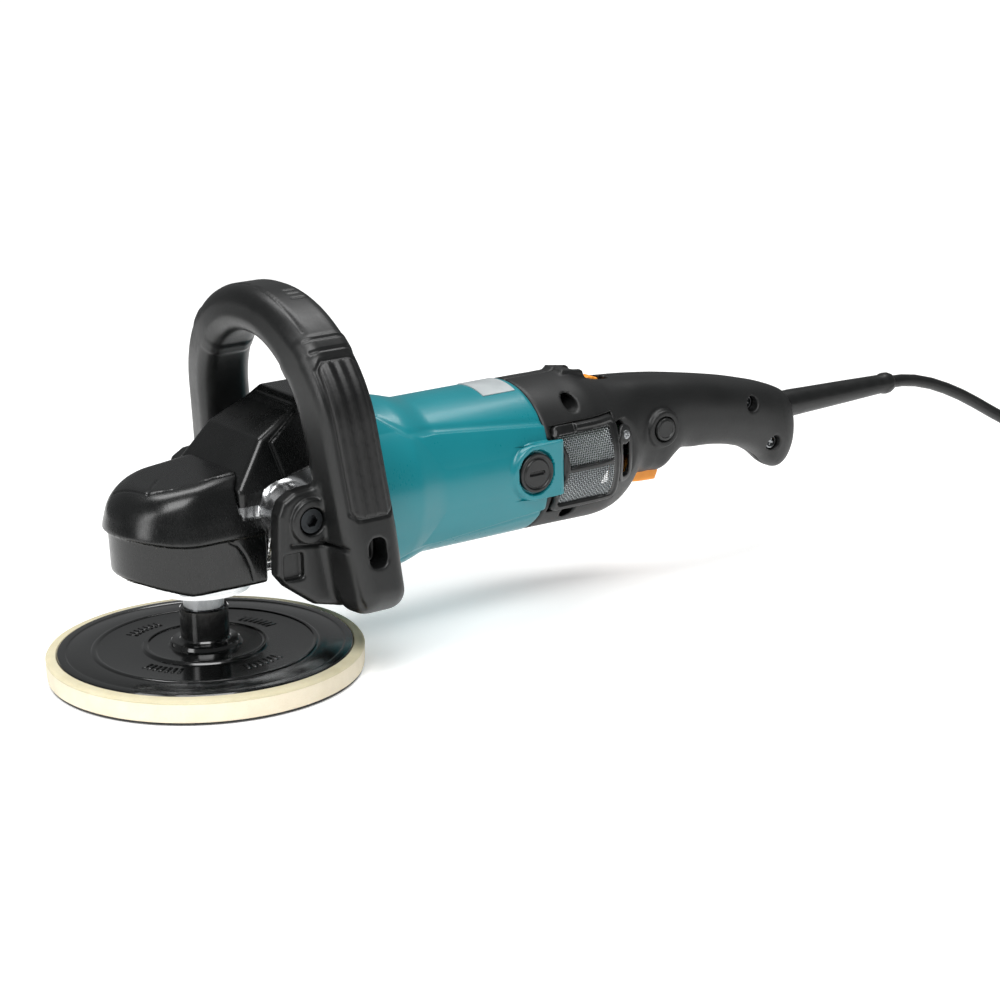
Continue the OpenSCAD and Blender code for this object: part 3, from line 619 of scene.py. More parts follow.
def noseParts(x, y, z):
    outline = np.hypot(np.minimum(x - head["noseCentre"], 0), y) - head["halfWidth"]
    roof = (z - (head["roof"] + (x + 48) * head["slope"])) * 0.967
    shoulder = (outline + 0.64 * (z - 98.0)) / 1.187
    return outline, roof, shoulder


def noseField(x, y, z):
    outline, roof, shoulder = noseParts(x, y, z)
    front = ease((head["noseCentre"] - x) / 38)
    lip = head["lip"] + 3.4 * front ** 2
    inset = (head["lipInset"] + head["lipInsetFront"] * front) * (0.35 + 0.65 * ease((6 - x) / 14 + front))
    below = ease((lip + 0.7 - z) / 1.4)
    bead = ease((lip + 9 - z) / 8) * ease((z - lip + 1) / 2)
    sides = outline + inset * below + 0.03 * both(lip - z, 0) - 0.5 * bead
    return smoothMax(smoothMax(sides, shoulder, 9), roof, 6 + 7 * front)


def hoodField(x, y, z, grow=3.0):
    side = outlineField(x, z, [(8 - grow, 108), (24.5 - grow / 2, 128.3 + grow),
                               (45 - grow / 2, 139 + grow), (53.5 - grow / 2, 146 + grow),
                               (72, 146 + grow), (84, 132 + grow), (84, 90), (8 - grow, 90)])
    top = 146 + grow
    front = outlineField(y, z, [(-17 - grow, top), (-23 - grow, top - 12), (-33 - grow, 106),
                                (-33 - grow, 90), (33 + grow, 90), (33 + grow, 106),
                                (23 + grow, top - 12), (17 + grow, top)])
    return smoothMax(side, front, 3.0)


def makeNose():
    low, high, step = (-56, -41, 51), (23, 41, 121), 0.8
    x, y, z = space(low, high, step)
    body = noseField(x, y, z)
    underside = both(55 - z, 55 - (x + 24) * 0.3056 - z)
    field = smoothMax(smoothMax(body, underside, 3), x - 19.8, 1.6)
    field = cut(field, body + head["cover"] - 0.1)
    field = cut(field, hoodField(x, y, z) - 0.25, 1.0)
    field = cut(field, rodField(x, z, *head["lock"], 7.6, y, 20, 60), 1.2)
    points, faces = meshField(field, low, step)
    normals = normalsOf(points, faces)
    near, up = ease(-normals[:, 1] * 2.5), ease(normals[:, 2] * 2.5)
    for path in noseLines["side"]:
        points = carve(points, normals, path, 0.9, 0.55, [0, 2], near)
    for path in noseLines["top"]:
        points = carve(points, normals, path, 0.9, 0.5, [0, 1], up)
    return addPiece("noseCover", points, faces, nitrileCover, "housing", "cover_rubber", None,
                    ("head_cover",))


# parting lines and marks, in x and z on the sides or x and y on the top
noseLines = {
    "side": [[(-3, 82), (2, 79), (6, 73), (9, 66), (11, 58)],
             [(11.5, 118), (19.6, 104)]],
    "top": [[(-43, 13), (-37, -13), (-26, -20), (12, -25), (20, -25)],
            [(-37, -13), (-24, 0)]],
}


def makeHood():
    low, high, step = (2, -41, 98), (88, 41, 153), 0.8
    x, y, z = space(low, high, step)
    field = cut(hoodField(x, y, z), hoodField(x, y, z, 0.1))
    field = cut(field, noseField(x, y, z) + head["cover"])
    barrel = np.hypot(y, z - 87)
    field = cut(field, both(barrel - 44.8, 69.6 - x), 1.2)
    field = cut(field, both(19.6 - x, z - hoodSkirt(x)), 1.2)
    points, faces = meshField(field, low, step)
    normals = normalsOf(points, faces)
    for side in (-1, 1):
        for path in hoodLines["side"]:
            where = ease(normals[:, 1] * side * 4) * (points[:, 1] * side > 3)
            points = carve(points, normals, path, 1.1, 0.8, [0, 2], where)
    up = ease(normals[:, 2] * 2.5)
    for path in hoodLines["top"]:
        points = carve(points, normals, path, 0.9, 0.5, [0, 1], up)
    return addPiece("hoodCover", points, faces, nitrileCover, "housing", "cover_rubber", None,
                    ("hood_cover",))


# the hood's lower edge on each side, a height for a station along X
def hoodSkirt(x):
    return np.interp(x, [19, 23, 33, 43, 60, 88], [100.5, 103.5, 109.2, 111.5, 114, 115])


hoodLines = {"side": [[(47, 141), (29, 128.8), (33, 111)]],
             "top": [[(47.5, 20), (47.2, -20)]]}


# bores along the tool inside the casting: height, radius, start and end
bores = [(105, 15.5, 31, 64), (105, 11.2, 19, 42), (87, 9, 44, 64), (87, 36.1, 63, 92), (105, 15.1, 63, 80)]


# the casting: a barrel along the motor's axis, shoulders up to the hood and a boss for each bolt
def makeCasting():
    low, high, step = (-54, -52, 57), (89, 52, 150), 1.0
    x, y, z = space(low, high, step)
    block = both(noseField(x, y, z) + head["cover"] + 0.5, 60 - z, x - 30)
    axis = np.hypot(y, z - 87)
    barrel = both(axis - 40, between(x, 19.9, 71), z - 112)
    flange = smoothMax(axis - 44.2, between(x, 68.6, 85.9), 0.8)
    inner = hoodField(x, y, z, -0.6)
    bosses = both(boltGap(x, z) - 15, between(np.abs(y), 34, 49.9))
    field = smoothMin(smoothMin(np.minimum(block, barrel), inner, 7), flange, 1.5)
    field = smoothMin(field, bosses, 4)
    field = smoothMax(field, 60 - z, 0.8)
    hollow = both(np.hypot(x, y) - 31.5, between(z, 69, np.minimum(both(99.6 + (x + 6) * 0.62, 99.6), 107)))
    hollow = np.minimum(hollow, rodField(x, y, 0, 0, 26.5, z, 50, 71))
    for height, radius, start, end in bores:
        hollow = np.minimum(hollow, rodField(y, z, 0, height, radius, x, start, end))
    hollow = cut(hollow, rodField(x, y, 0, 0, 12, z, 99.2, 109))
    hollow = np.minimum(hollow, rodField(x, y, 0, 0, 8.6, z, 98, 106.3))
    field = cut(field, hollow)
    field = cut(field, both(boltGap(x, z) - 4.1, 38 - np.abs(y)))
    field = cut(field, rodField(x, z, *head["lock"], 4.5, y, 20, 45))
    return sculpt("gearCasting", field, low, step, castAluminium, "housing", "aluminium",
                  ("gear_housing",), rounds=4)


noseCover = makeNose()
hoodCover = makeHood()
gearCasting = makeCasting()
print("gear head made")


# ---- loop handle: one moulding bent over the head, with a soft insert on each leg ----

loop = {"footY": 74.0, "footZ": 50.0, "tilt": 6.8, "cornerR": 61.0, "barZ": 195.0, "halfWidth": 16.0,
        "legHalf": 15.0, "barHalf": 12.5, "x": 52.0, "lean": 0.1, "skew": 2.5, "round": 9.5}


# place of each point in the loop's own axes: along the loop, outwards from its middle line, and across
def loopAxes(x, y, z):
    tilt, r = math.radians(loop["tilt"]), loop["cornerR"]
    endZ = loop["barZ"] - r * (1 - math.sin(tilt))
    endY = loop["footY"] - math.tan(tilt) * (endZ - loop["footZ"])
    cy, cz = endY - r * math.cos(tilt), endZ - r * math.sin(tilt)
    ry, rz = np.abs(y) - cy, z - cz
    along = -ry * math.sin(tilt) + rz * math.cos(tilt)
    leg, arc = along < 0, (along >= 0) & (ry > 0)
    out = np.where(leg, ry * math.cos(tilt) + rz * math.sin(tilt) - r,
                   np.where(arc, np.hypot(ry, rz) - r, rz - r))
    angle = np.arctan2(rz, ry)
    way = np.where(leg, along, np.where(arc, (angle - tilt) * r, (math.pi / 2 - tilt) * r - ry))
    turn = np.where(leg, 0.0, np.where(arc, np.clip((angle - tilt) / (math.pi / 2 - tilt), 0, 1), 1.0))
    half = loop["legHalf"] + (loop["barHalf"] - loop["legHalf"]) * ease(turn)
    across = x - (loop["x"] - loop["lean"] * (z - 130)) - loop["skew"] * out / half
    return way, out, across, half


def roundedBox(u, v, halfU, halfV, r):
    qu, qv = np.abs(u) - (halfU - r), np.abs(v) - (halfV - r)
    return np.hypot(np.maximum(qu, 0), np.maximum(qv, 0)) + np.minimum(np.maximum(qu, qv), 0) - r


foot = [(12.5, 65), (14, 98), (17, 105), (24, 109), (34, 110), (46, 108), (62, 108), (67, 80), (65, 48),
        (50, 42), (34, 46), (18, 58)]


def makeLoop():
    low, high, step = (8, -94, 41), (78, 94, 212), 0.9
    x, y, z = space(low, high, step)
    y = np.broadcast_to(y, (x.shape[0], y.shape[1], z.shape[2])).astype(np.float32)
    way, out, across, half = loopAxes(x, y, z)
    half = half * (1 - 0.16 * ease((56 - z) / 16)) + 0.8 * ease((way - 32) / 3) * ease((44 - way) / 3)
    field = roundedBox(across, out, loop["halfWidth"] - 1.5 * ease((90 - z) / 40), half, loop["round"])
    base = 41 + 5 * ease((np.abs(y) - 76) / 14)
    field = smoothMax(field, base - z, 9)
    wing = smoothMax(outlineField(x, z, foot), between(np.abs(y), 50, 61.5), 3.5)
    field = smoothMin(field, wing, 5)
    side = np.abs(y)
    # boss round the bolt
    field = smoothMin(field, rodField(x, z, *head["bolt"], 12.2, side, 50, 64.5, 1.4), 1.2)
    field = cut(field, rodField(x, z, *head["bolt"], 7.4, side, 57, 90), 0.8)
    field = cut(field, both(boltGap(x, z) - 4.3, 58 - side), 0.3)
    # slot low on the leg
    field = cut(field, both(roundedBox(x - 58.2, z - 75.8, 5.4, 8.0, 4.6), 72 - side), 1.0)
    # pocket in the foot
    field = cut(field, both(roundedBox(x - 21.5, z - 69.5, 6.0, 7.0, 2.0), 57.5 - side), 1.0)
    field = cut(field, both(roundedBox(x - 32, z - 80 + (x - 32) * 0.12, 12, 0.7, 0.6), 60.6 - side), 1.2)
    field = both(field, 50 - side - 1000 * (z > 112))  # nothing of the feet reaches in past the bolts
    points, faces = meshField(field, low, step)
    normals = normalsOf(points, faces)
    way, out, across, half = loopAxes(points[:, 0], points[:, 1], points[:, 2])
    outer = ease((out + 2) / 4) * ease((16 - np.abs(across)) / 2)
    spot = np.stack([way, across], 1)
    for path, width, depth in loopMarks:  # grooves, in the loop's own axes
        points = carve(np.column_stack([points, spot]), np.pad(normals, ((0, 0), (0, 2))), path, width,
                       depth, [3, 4], outer)[:, :3]
    edge = np.hypot((across + 12.4) * 0.6, (out - half + 6.5) * 0.6)
    crease = 0.9 * ease((1.5 - edge) / 1.4) * ease((way + 118) / 6)  # along the front inner edge
    points = points - normals * crease[:, None]
    return addPiece("loopHandle", points, faces, loopNylon, "housing", "loop_plastic", None,
                    ("loop_handle",))


# along the loop and across it: the seam round the insert, the collar and the ridges at the corners
loopMarks = [
    ([(-45, -12.6), (27, -12.6), (30.5, -9), (30.5, 9), (27, 12.6), (-45, 12.6), (-48.5, 9),
      (-48.5, -9), (-45, -12.6)], 1.4, 0.9),
    ([(35, -12), (35, 12)], 1.2, 0.8),
    ([(41, -12), (41, 12)], 1.2, 0.7),
    ([(46, -10), (60, -10), (88, -8)], 1.0, 0.6),
    ([(68, 0), (68, 11)], 1.2, 0.6),
    ([(72, 0), (72, 11)], 1.2, 0.6),
    ([(76, 0), (76, 11)], 1.2, 0.6),
]


# the soft insert: three long ribs with shallow flutes between them
def makeGrips():
    step = 0.9
    for side, name in ((-1, "gripLeft"), (1, "gripRight")):
        low, high = (20, min(side * 50, side * 92), 84), (78, max(side * 50, side * 92), 186)
        x, y, z = space(low, high, step)
        y = np.broadcast_to(y, (x.shape[0], y.shape[1], z.shape[2])).astype(np.float32)
        way, out, across, half = loopAxes(x, y, z)
        flutes = 0.6 * np.cos(across * 2 * math.pi / 6.6) * ease((11.5 - np.abs(across)) / 3)
        skin = roundedBox(across, out, loop["halfWidth"], half, loop["round"]) - 0.75 - flutes
        patch = both(roundedBox(across, way + 9, 11.8, 38.8, 4.5), 8.5 - out)
        field = smoothMax(skin, patch, 1.0)
        sculpt(name, field, low, step, gripElastomer, "housing", "grip_rubber", ("loop_grips",))


loopHandle = makeLoop()
makeGrips()
print("loop handle made")


# ---- motor housing: a barrel with a flared front, a raised panel on each side and a boss over each brush ----

motor = {"z": 87.0, "radius": 44.4, "flare": 4.4, "front": 86.2, "rear": 201.0, "panelY": 43.9,
         "panelCurve": 0.0078, "brushX": 190.0, "brushZ": 87.5, "bossR": 15.5, "bossY": 46.4,
         "tab": 8.0, "wall": 3.4}


def panelEdge(x):
    return np.interp(x, [86, 89.5, 103, 112, 199, 212], [50, 47.3, 37.5, 31.5, 24.4, 24])


def motorRadius(x, angle):
    s, c = np.sin(angle), np.cos(angle)
    side = np.maximum(np.abs(s), 1e-3)
    base = motor["radius"] + motor["flare"] * (1 - ease((x - 110) / 22)) - 1.0 * ease((90 - x) / 4)
    height = base * c
    panel = motor["panelY"] - motor["panelCurve"] * height ** 2
    raised = np.maximum(np.hypot(panel, height), base + 0.5 * ease((118 - x) / 8))
    gap = panelEdge(x) - np.abs(height)
    facing = (side > 0.45)
    radius = base + (raised - base) * ease(gap / 2.2 + 0.5) * facing
    radius = radius - 0.5 * np.exp(-((gap + 2.6) / 1.5) ** 2) * facing
    flat = motor["bossY"] / side
    across = radius * c + motor["z"] - motor["brushZ"]
    boss = np.hypot(np.minimum(x - motor["brushX"], 0), across) - motor["bossR"]
    radius = radius + np.maximum(flat - radius, 0) * ease(0.5 - boss / 3.0) * facing
    cup = np.hypot(x - motor["brushX"], across)
    well = (motor["bossY"] - 2.2) / side
    return np.where((cup < 12.2) & facing, np.minimum(radius, well), radius)


def makeMotorHousing():
    columns, around = 150, 560
    angle = np.linspace(0, 2 * math.pi, around, endpoint=False)
    t = np.linspace(0, 1, columns)
    c = np.cos(angle) * motor["radius"] + motor["z"] - motor["brushZ"]
    reach = motor["tab"] * (np.abs(c) < motor["bossR"]) * (np.abs(np.sin(angle)) > 0.5)
    rear = motor["rear"] + reach
    x = motor["front"] + (rear[:, None] - motor["front"]) * t[None, :]
    outer = motorRadius(x, angle[:, None])
    lip = np.minimum((t * columns) / 2.0, (1 - t) * columns / 2.0).clip(0, 1)[None, :]
    outer = outer - 0.6 * (1 - ease(lip))
    inner = np.full_like(outer, motor["radius"] - motor["wall"]) + 3.6 * (1 - ease((x - 112) / 12))
    points = []
    for radius in (outer, inner):
        points.append(np.stack([x, radius * np.sin(angle)[:, None],
                                motor["z"] + radius * np.cos(angle)[:, None]], 2))
    points = np.concatenate([p.reshape(-1, 3) for p in points])
    row = np.arange(around)[:, None] * columns + np.arange(columns)[None, :]
    nxt = np.roll(row, -1, axis=0)
    a, b, c2, d = row[:, :-1], row[:, 1:], nxt[:, 1:], nxt[:, :-1]
    shell = np.stack([a, d, c2, b], 2).reshape(-1, 4)
    offset = around * columns
    inside = np.stack([a, b, c2, d], 2).reshape(-1, 4) + offset
    front = np.stack([row[:, 0], row[:, 0] + offset, nxt[:, 0] + offset, nxt[:, 0]], 1)
    back = np.stack([row[:, -1], nxt[:, -1], nxt[:, -1] + offset, row[:, -1] + offset], 1)
    faces = np.concatenate([shell, inside, front, back])
    piece = addPiece("motorHousing", points, faces, tealNylon, "housing", "housing_teal", None)
    tidyMesh(piece, 38)
    return piece


motorHousing = makeMotorHousing()
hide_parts("motor_housing")


# brush caps: a slotted cap inside a raised ring, on each side
def makeCaps():
    for side, name in ((-1, "capLeft"), (1, "capRight")):
        low, high = (177, min(side * 42, side * 49), 74.5), (203, max(side * 42, side * 49), 100.5)
        x, y, z = space(low, high, 0.4)
        out, r = y * side, np.hypot(x - motor["brushX"], z - motor["brushZ"])
        disc = smoothMax(r - 11.3, between(out, 43.6, 47.0), 0.6)
        field = smoothMax(disc, -both(between(r, 8.1, 9.3), 46.2 - out), 0.4)
        field = cut(field, both(roundedBox(x - motor["brushX"], z - motor["brushZ"], 5.2, 1.0, 0.9),
                                45.6 - out), 0.4)
        sculpt(name, field, low, 0.4, blackAcetal, "housing", "black_plastic", ("brush_caps",))


makeCaps()
print("motor housing made")


# ---- rear handle: two halves that meet on the middle plane ----

# stations along the handle: x, top, bottom, half width and how square the section is
handleStations = [(199, 131.3, 42.7, 44.2, 2.0), (226, 131.1, 42.4, 44.3, 2.0),
                  (240, 130.6, 42.2, 43.6, 2.02), (252, 126.6, 42.2, 40.0, 2.1),
                  (262, 123.6, 43.0, 34.4, 2.15), (270, 122.7, 45.4, 30.6, 2.2),
                  (277, 122.1, 50.4, 27.8, 2.3), (284, 121.4, 59.2, 25.4, 2.45),
                  (296, 120.2, 60.9, 23.9, 2.55), (308, 118.7, 61.4, 23.2, 2.6),
                  (313, 118.0, 65.6, 22.9, 2.6), (319, 117.0, 69.8, 22.4, 2.6),
                  (334, 114.4, 69.8, 22.2, 2.55), (351, 111.2, 68.4, 22, 2.5),
                  (366, 108, 65.4, 21.5, 2.5), (380, 104.4, 60.4, 20.8, 2.5),
                  (390, 101.6, 54.2, 19.8, 2.4), (398, 98.8, 47.0, 18.5, 2.3),
                  (404, 96.3, 44.7, 17, 2.25), (409, 93.8, 46.4, 14.9, 2.15),
                  (414.5, 89.6, 53.5, 11.5, 2.1)]
handle = {"wall": 3.0, "screws": [(226, 119), (221.5, 57), (372, 93), (392, 65)], "button": (298, 91),
          "buttonR": 7.0, "dial": (259, 112.5), "dialR": 12.4, "window": (205, 254, 59, 110),
          "guardZ": 82.5}


def stationCurve(x, column):
    xs = np.array([s[0] for s in handleStations], float)
    ys = np.array([s[column] for s in handleStations], float)
    slope = np.gradient(ys, xs)
    i = np.clip(np.searchsorted(xs, x) - 1, 0, len(xs) - 2)
    h = xs[i + 1] - xs[i]
    t = np.clip((x - xs[i]) / h, 0, 1)
    a, b = (1 + 2 * t) * (1 - t) ** 2, t * t * (3 - 2 * t)
    lean = t * (1 - t) ** 2 * slope[i] + t * t * (t - 1) * slope[i + 1]
    return (a * ys[i] + b * ys[i + 1] + h * lean).astype(np.float32)


def handleField(x, y, z, grow=0.0):
    top, bottom, wide, power = (stationCurve(x, k) for k in (1, 2, 3, 4))
    mid, high, wide = (top + bottom) / 2, (top - bottom) / 2 + grow, wide + grow
    ratio = ((np.abs(y) / wide) ** power + (np.abs(z - mid) / high) ** power) ** (1 / power)
    return (ratio - 1) * np.minimum(high, wide)


def brushShape(x, z, r):
    return np.hypot(np.minimum(x - motor["brushX"], 0), z - motor["brushZ"]) - r


def makeHandleHalf(side, name, node):
    step = 0.9
    low = (199, -1.8 if side > 0 else -48, 40)
    high = (418, 48 if side > 0 else 1.8, 135)
    x, y, z = space(low, high, step)
    outer = handleField(x, y, z)
    outer = smoothMax(outer, between(x, 201.3, 413.5), 2.0)
    out = side * y
    hump = smoothMax(outlineField(x, z, [(231, 126), (236.5, 133), (251, 130.8), (253.5, 125),
                                         (253.5, 118), (231, 118)]), np.abs(y) - 9, 1.2)
    outer = smoothMin(outer, hump, 1.5)
    ring = rodField(x, z, *handle["button"], 11.2, out, 17, 27.4, 1.5)
    if side < 0:
        outer = smoothMin(outer, ring, 2.0)
    field = both(outer, -both(handleField(x, y, z, -handle["wall"]), between(x, 196, 410)))
    for px, pz in handle["screws"]:
        field = np.minimum(field, both(np.hypot(x - px, z - pz) - 6.2, handleField(x, y, z, -1.0)))
    x0, x1, z0, z1 = handle["window"]
    field = cut(field, both(between(x, x0, x1), between(z, z0, z1), 20 - out), 0.6)
    field = cut(field, both(brushShape(x, z, 16.0), 28 - out), 0.5)
    if side < 0:
        hx, hz = handle["button"]
        field = cut(field, rodField(x, z, hx, hz, handle["buttonR"] + 0.4, out, 10, 40), 0.7)
        for px, pz in handle["screws"]:
            field = cut(field, rodField(x, z, px, pz, 4.7, out, 12.2, 60), 0.8)
    field = cut(field, both(between(x, 275, 311.2), np.abs(y) - 9.4, z - 72), 0.6)
    field = cut(field, both(between(x, 245.5, 273), np.abs(y) - 5.2, 100 - z), 0.6)
    field = cut(field, rodField(y, z, 0, handle["guardZ"], 8.9, x, 403, 430), 0.8)
    field = cut(field, out, 0.9)
    return sculpt(name, field, low, step, handleNylon, "housing", "handle_plastic", (node,))


makeHandleHalf(-1, "handleLeft", "handle_left")
makeHandleHalf(1, "handleRight", "handle_right")
print("rear handle made")


# ---- filter frames: a clip-on frame with two mesh windows, a latch and a loop to pull it by ----

frameLook = {"window": (206.5, 247), "rows": ((64, 82.5), (85.5, 104.5)), "proud": 1.4,
             "meshPitch": 1.3, "wire": 0.27}


def makeFilterFrame(side, name, node):
    step = 0.6
    low = (202, min(side * 24, side * 49), 55)
    high = (273, max(side * 24, side * 49), 114)
    x, y, z = space(low, high, step)
    out = side * y
    shell = both(handleField(x, y, z, frameLook["proud"]), -handleField(x, y, z, -handle["wall"]))
    panel = smoothMax(roundedBox(x - 229.5, z - 84.5, 24.2, 25.2, 5.0), shell, 0.8)
    capGap = np.hypot(x - motor["brushX"], z - motor["brushZ"])
    tab = both(brushShape(x, z, 17.0), x - 209.7)
    x0, x1 = frameLook["window"]
    for z0, z1 in frameLook["rows"]:
        opening = roundedBox(x - (x0 + x1) / 2, z - (z0 + z1) / 2, (x1 - x0) / 2, (z1 - z0) / 2, 2.2)
        panel = smoothMax(panel, -both(opening, 22.6 - capGap), 0.8)
    panel = smoothMax(panel, -tab, 0.8)
    rim = both(np.abs(roundedBox(x - 229.5, z - 84.5, 22.4, 23.4, 4.4)) - 1.2,
               handleField(x, y, z, frameLook["proud"] + 0.9))
    rim = both(rim, -tab)
    arc = both(np.abs(capGap - 22.4) - 1.1, handleField(x, y, z, frameLook["proud"] + 1.0))
    arc = both(arc, 205 - x, np.abs(z - 87.5) - 21)
    field = smoothMin(panel, both(rim, -handleField(x, y, z, -handle["wall"])), 0.8)
    field = smoothMin(field, both(arc, -handleField(x, y, z, -1.0)), 0.8)
    latch = roundedBox(x - 215, z - 107.6, 6.4, 2.6, 0.8)
    field = cut(field, both(latch, -handleField(x, y, z, 0.2)), 0.5)
    plane = handleField(x, y, z, 1.6)
    loopRing = np.abs(roundedBox(x - 262, z - 83.5, 5.6, 14.5, 4.6)) - 1.9
    inward = -handleField(x, y, z, -0.6)
    clip = smoothMax(loopRing, both(plane, inward), 1.0)
    knob = both(np.hypot(x - 262, z - 95.5) - 5.6, handleField(x, y, z, 2.0), inward)
    field = np.minimum(field, smoothMin(clip, knob, 1.0))
    field = both(field, 25 - out)
    return sculpt(name, field, low, step, blackAcetal, "housing", "black_plastic", (node,))


makeFilterFrame(-1, "filterFrameLeft", "filter_frame_left")
makeFilterFrame(1, "filterFrameRight", "filter_frame_right")
print("filter frames made")


# ---- geometry nodes: one tree per thing that repeats ----

def newTree(name, sizes):
    tree = bpy.data.node_groups.new(name, "GeometryNodeTree")
    tree.interface.new_socket(name="Geometry", in_out="INPUT", socket_type="NodeSocketGeometry")
    for size in sizes:
        tree.interface.new_socket(name=size, in_out="INPUT", socket_type="NodeSocketFloat")
    tree.interface.new_socket(name="Geometry", in_out="OUTPUT", socket_type="NodeSocketGeometry")
    given = tree.nodes.new("NodeGroupInput").outputs
    return tree, given


def closeTree(tree, geometry, material):
    real = addNode(tree, "GeometryNodeRealizeInstances", {0: geometry})
    dressed = addNode(tree, "GeometryNodeSetMaterial", {"Geometry": real.outputs[0], "Material": material})
    addNode(tree, "NodeGroupOutput", {0: dressed.outputs[0]})


# runs a tree on a base mesh and keeps the result as a plain mesh
def runTree(name, tree, values, base, body, material, angle=None, replaces=()):
    holder = bpy.data.objects.new(name + "Base", base)
    bpy.context.scene.collection.objects.link(holder)
    modifier = holder.modifiers.new(name, "NODES")
    modifier.node_group = tree
    for socket in tree.interface.items_tree:
        if socket.in_out == "INPUT" and socket.name in values:
            modifier[socket.identifier] = float(values[socket.name])
    bpy.context.view_layer.update()
    mesh = bpy.data.meshes.new_from_object(holder.evaluated_get(bpy.context.evaluated_depsgraph_get()))
    bpy.data.objects.remove(holder)
    mesh.name = name
    mesh.materials.clear()
    mesh.materials.append(material)
    piece = bpy.data.objects.new(name, mesh)
    bpy.context.scene.collection.objects.link(piece)
    return finishPiece(piece, body, angle, replaces)


def pointMesh(name, points):
    mesh = bpy.data.meshes.new(name)
    mesh.from_pydata([tuple(c * 0.001 for c in p) for p in points], [], [])
    return mesh


def vector(tree, parts):
    return addNode(tree, "ShaderNodeCombineXYZ", parts).outputs[0]


def sums(tree, operation, a, b=None):
    links = {0: a} if b is None else {0: a, 1: b}
    return addNode(tree, "ShaderNodeMath", links, operation=operation).outputs[0]


# woven wire: wires both ways, over and under each other, bent round the housing
def makeMesh(side, name):
    tree, given = newTree("wovenMesh", ["Width", "Height", "Pitch", "Wire", "Bend", "Side"])
    width, height, pitch, wire, bend, way = (given[i] for i in range(1, 7))
    calc = functools.partial(sums, tree)
    sets = []
    for length, across, flip in ((width, height, 0), (height, width, 1)):
        line = addNode(tree, "GeometryNodeCurvePrimitiveLine", {
            "Start": (0, 0, 0), "End": vector(tree, {0: length})})
        count = calc("MULTIPLY", calc("DIVIDE", length, pitch), 2.0)
        dense = addNode(tree, "GeometryNodeResampleCurve",
                        {"Curve": line.outputs[0], "Count": calc("ADD", count, 1.0)})
        rows = addNode(tree, "GeometryNodeMeshLine", {
            "Count": calc("ADD", calc("DIVIDE", across, pitch), 1.0),
            "Offset": vector(tree, {1: pitch})})
        placed = addNode(tree, "GeometryNodeInstanceOnPoints",
                         {"Points": rows.outputs[0], "Instance": dense.outputs[0]})
        real = addNode(tree, "GeometryNodeRealizeInstances", {0: placed.outputs[0]}).outputs[0]
        here = addNode(tree, "GeometryNodeInputPosition").outputs[0]
        spot = addNode(tree, "ShaderNodeSeparateXYZ", {0: here})
        row = calc("ROUND", calc("DIVIDE", spot.outputs[1], pitch))
        step = calc("DIVIDE", spot.outputs[0], pitch)
        phase = calc("MULTIPLY", calc("ADD", calc("ADD", step, row), float(flip)), math.pi)
        lift = calc("MULTIPLY", calc("COSINE", phase), calc("MULTIPLY", wire, 0.9))
        ends = (spot.outputs[0], spot.outputs[1]) if not flip else (spot.outputs[1], spot.outputs[0])
        turn = calc("DIVIDE", calc("SUBTRACT", ends[1], calc("MULTIPLY", height, 0.5)), bend)
        reach = calc("ADD", bend, lift)
        away = calc("MULTIPLY", calc("MULTIPLY", reach, calc("COSINE", turn)), way)
        place = vector(tree, {0: ends[0], 1: away, 2: calc("MULTIPLY", reach, calc("SINE", turn))})
        moved = addNode(tree, "GeometryNodeSetPosition", {"Geometry": real, "Position": place})
        ring = addNode(tree, "GeometryNodeCurvePrimitiveCircle", {"Resolution": 4, "Radius": wire})
        solid = addNode(tree, "GeometryNodeCurveToMesh",
                        {"Curve": moved.outputs[0], "Profile Curve": ring.outputs[0],
                         "Fill Caps": True})
        sets.append(solid.outputs[0])
    join = addNode(tree, "GeometryNodeJoinGeometry")
    for geometry in sets:
        tree.links.new(geometry, join.inputs[0])
    x0, x1 = frameLook["window"]
    z0, z1 = frameLook["rows"][0][0] - 0.8, frameLook["rows"][1][1] + 0.8
    placed = addNode(tree, "GeometryNodeTransform", {
        "Geometry": join.outputs[0], "Translation": ((x0 - 0.8) / 1000, 0, (z0 + z1) / 2000)})
    closeTree(tree, placed.outputs[0], wovenWire)
    sizes = {"Width": (x1 - x0 + 1.6) / 1000, "Height": (z1 - z0) / 1000,
             "Pitch": frameLook["meshPitch"] / 1000, "Wire": frameLook["wire"] / 1000, "Bend": 0.0428,
             "Side": side}
    runTree(name, tree, sizes, pointMesh(name, [(0, 0, 0)]), "housing", wovenWire, None,
            ("filter_meshes",))


makeMesh(-1, "meshLeft")
makeMesh(1, "meshRight")


# a dark sheet behind the mesh, painted shade for the dim inside of the housing, so that the weave stands out
def makeShadeSheet():
    low, high, step = (208, -45, 60), (253, 45, 109), 1.0
    x, y, z = space(low, high, step)
    shell = both(handleField(x, y, z, -2.0), -handleField(x, y, z, -2.9))
    field = both(shell, roundedBox(x - 230, z - 84.5, 20.5, 22.5, 2), 28 - np.abs(y))
    field = cut(field, brushShape(x, z, 16.6))
    # painted shade: a dark sheet just inside the window, where the housing's inside lies in shade
    sculpt("filterFelt", field, low, step, innerNylon, "housing", "black_plastic", rounds=1)


makeShadeSheet()


# raised marks on the backing plate: short bars in four arcs
plateMarks = {"arcs": ((-150, 44), (-78, 46), (20, 44), (110, 45)), "spacing": 4.4, "z": 15.25,
              "length": 7.0, "width": 1.6, "high": 0.45}


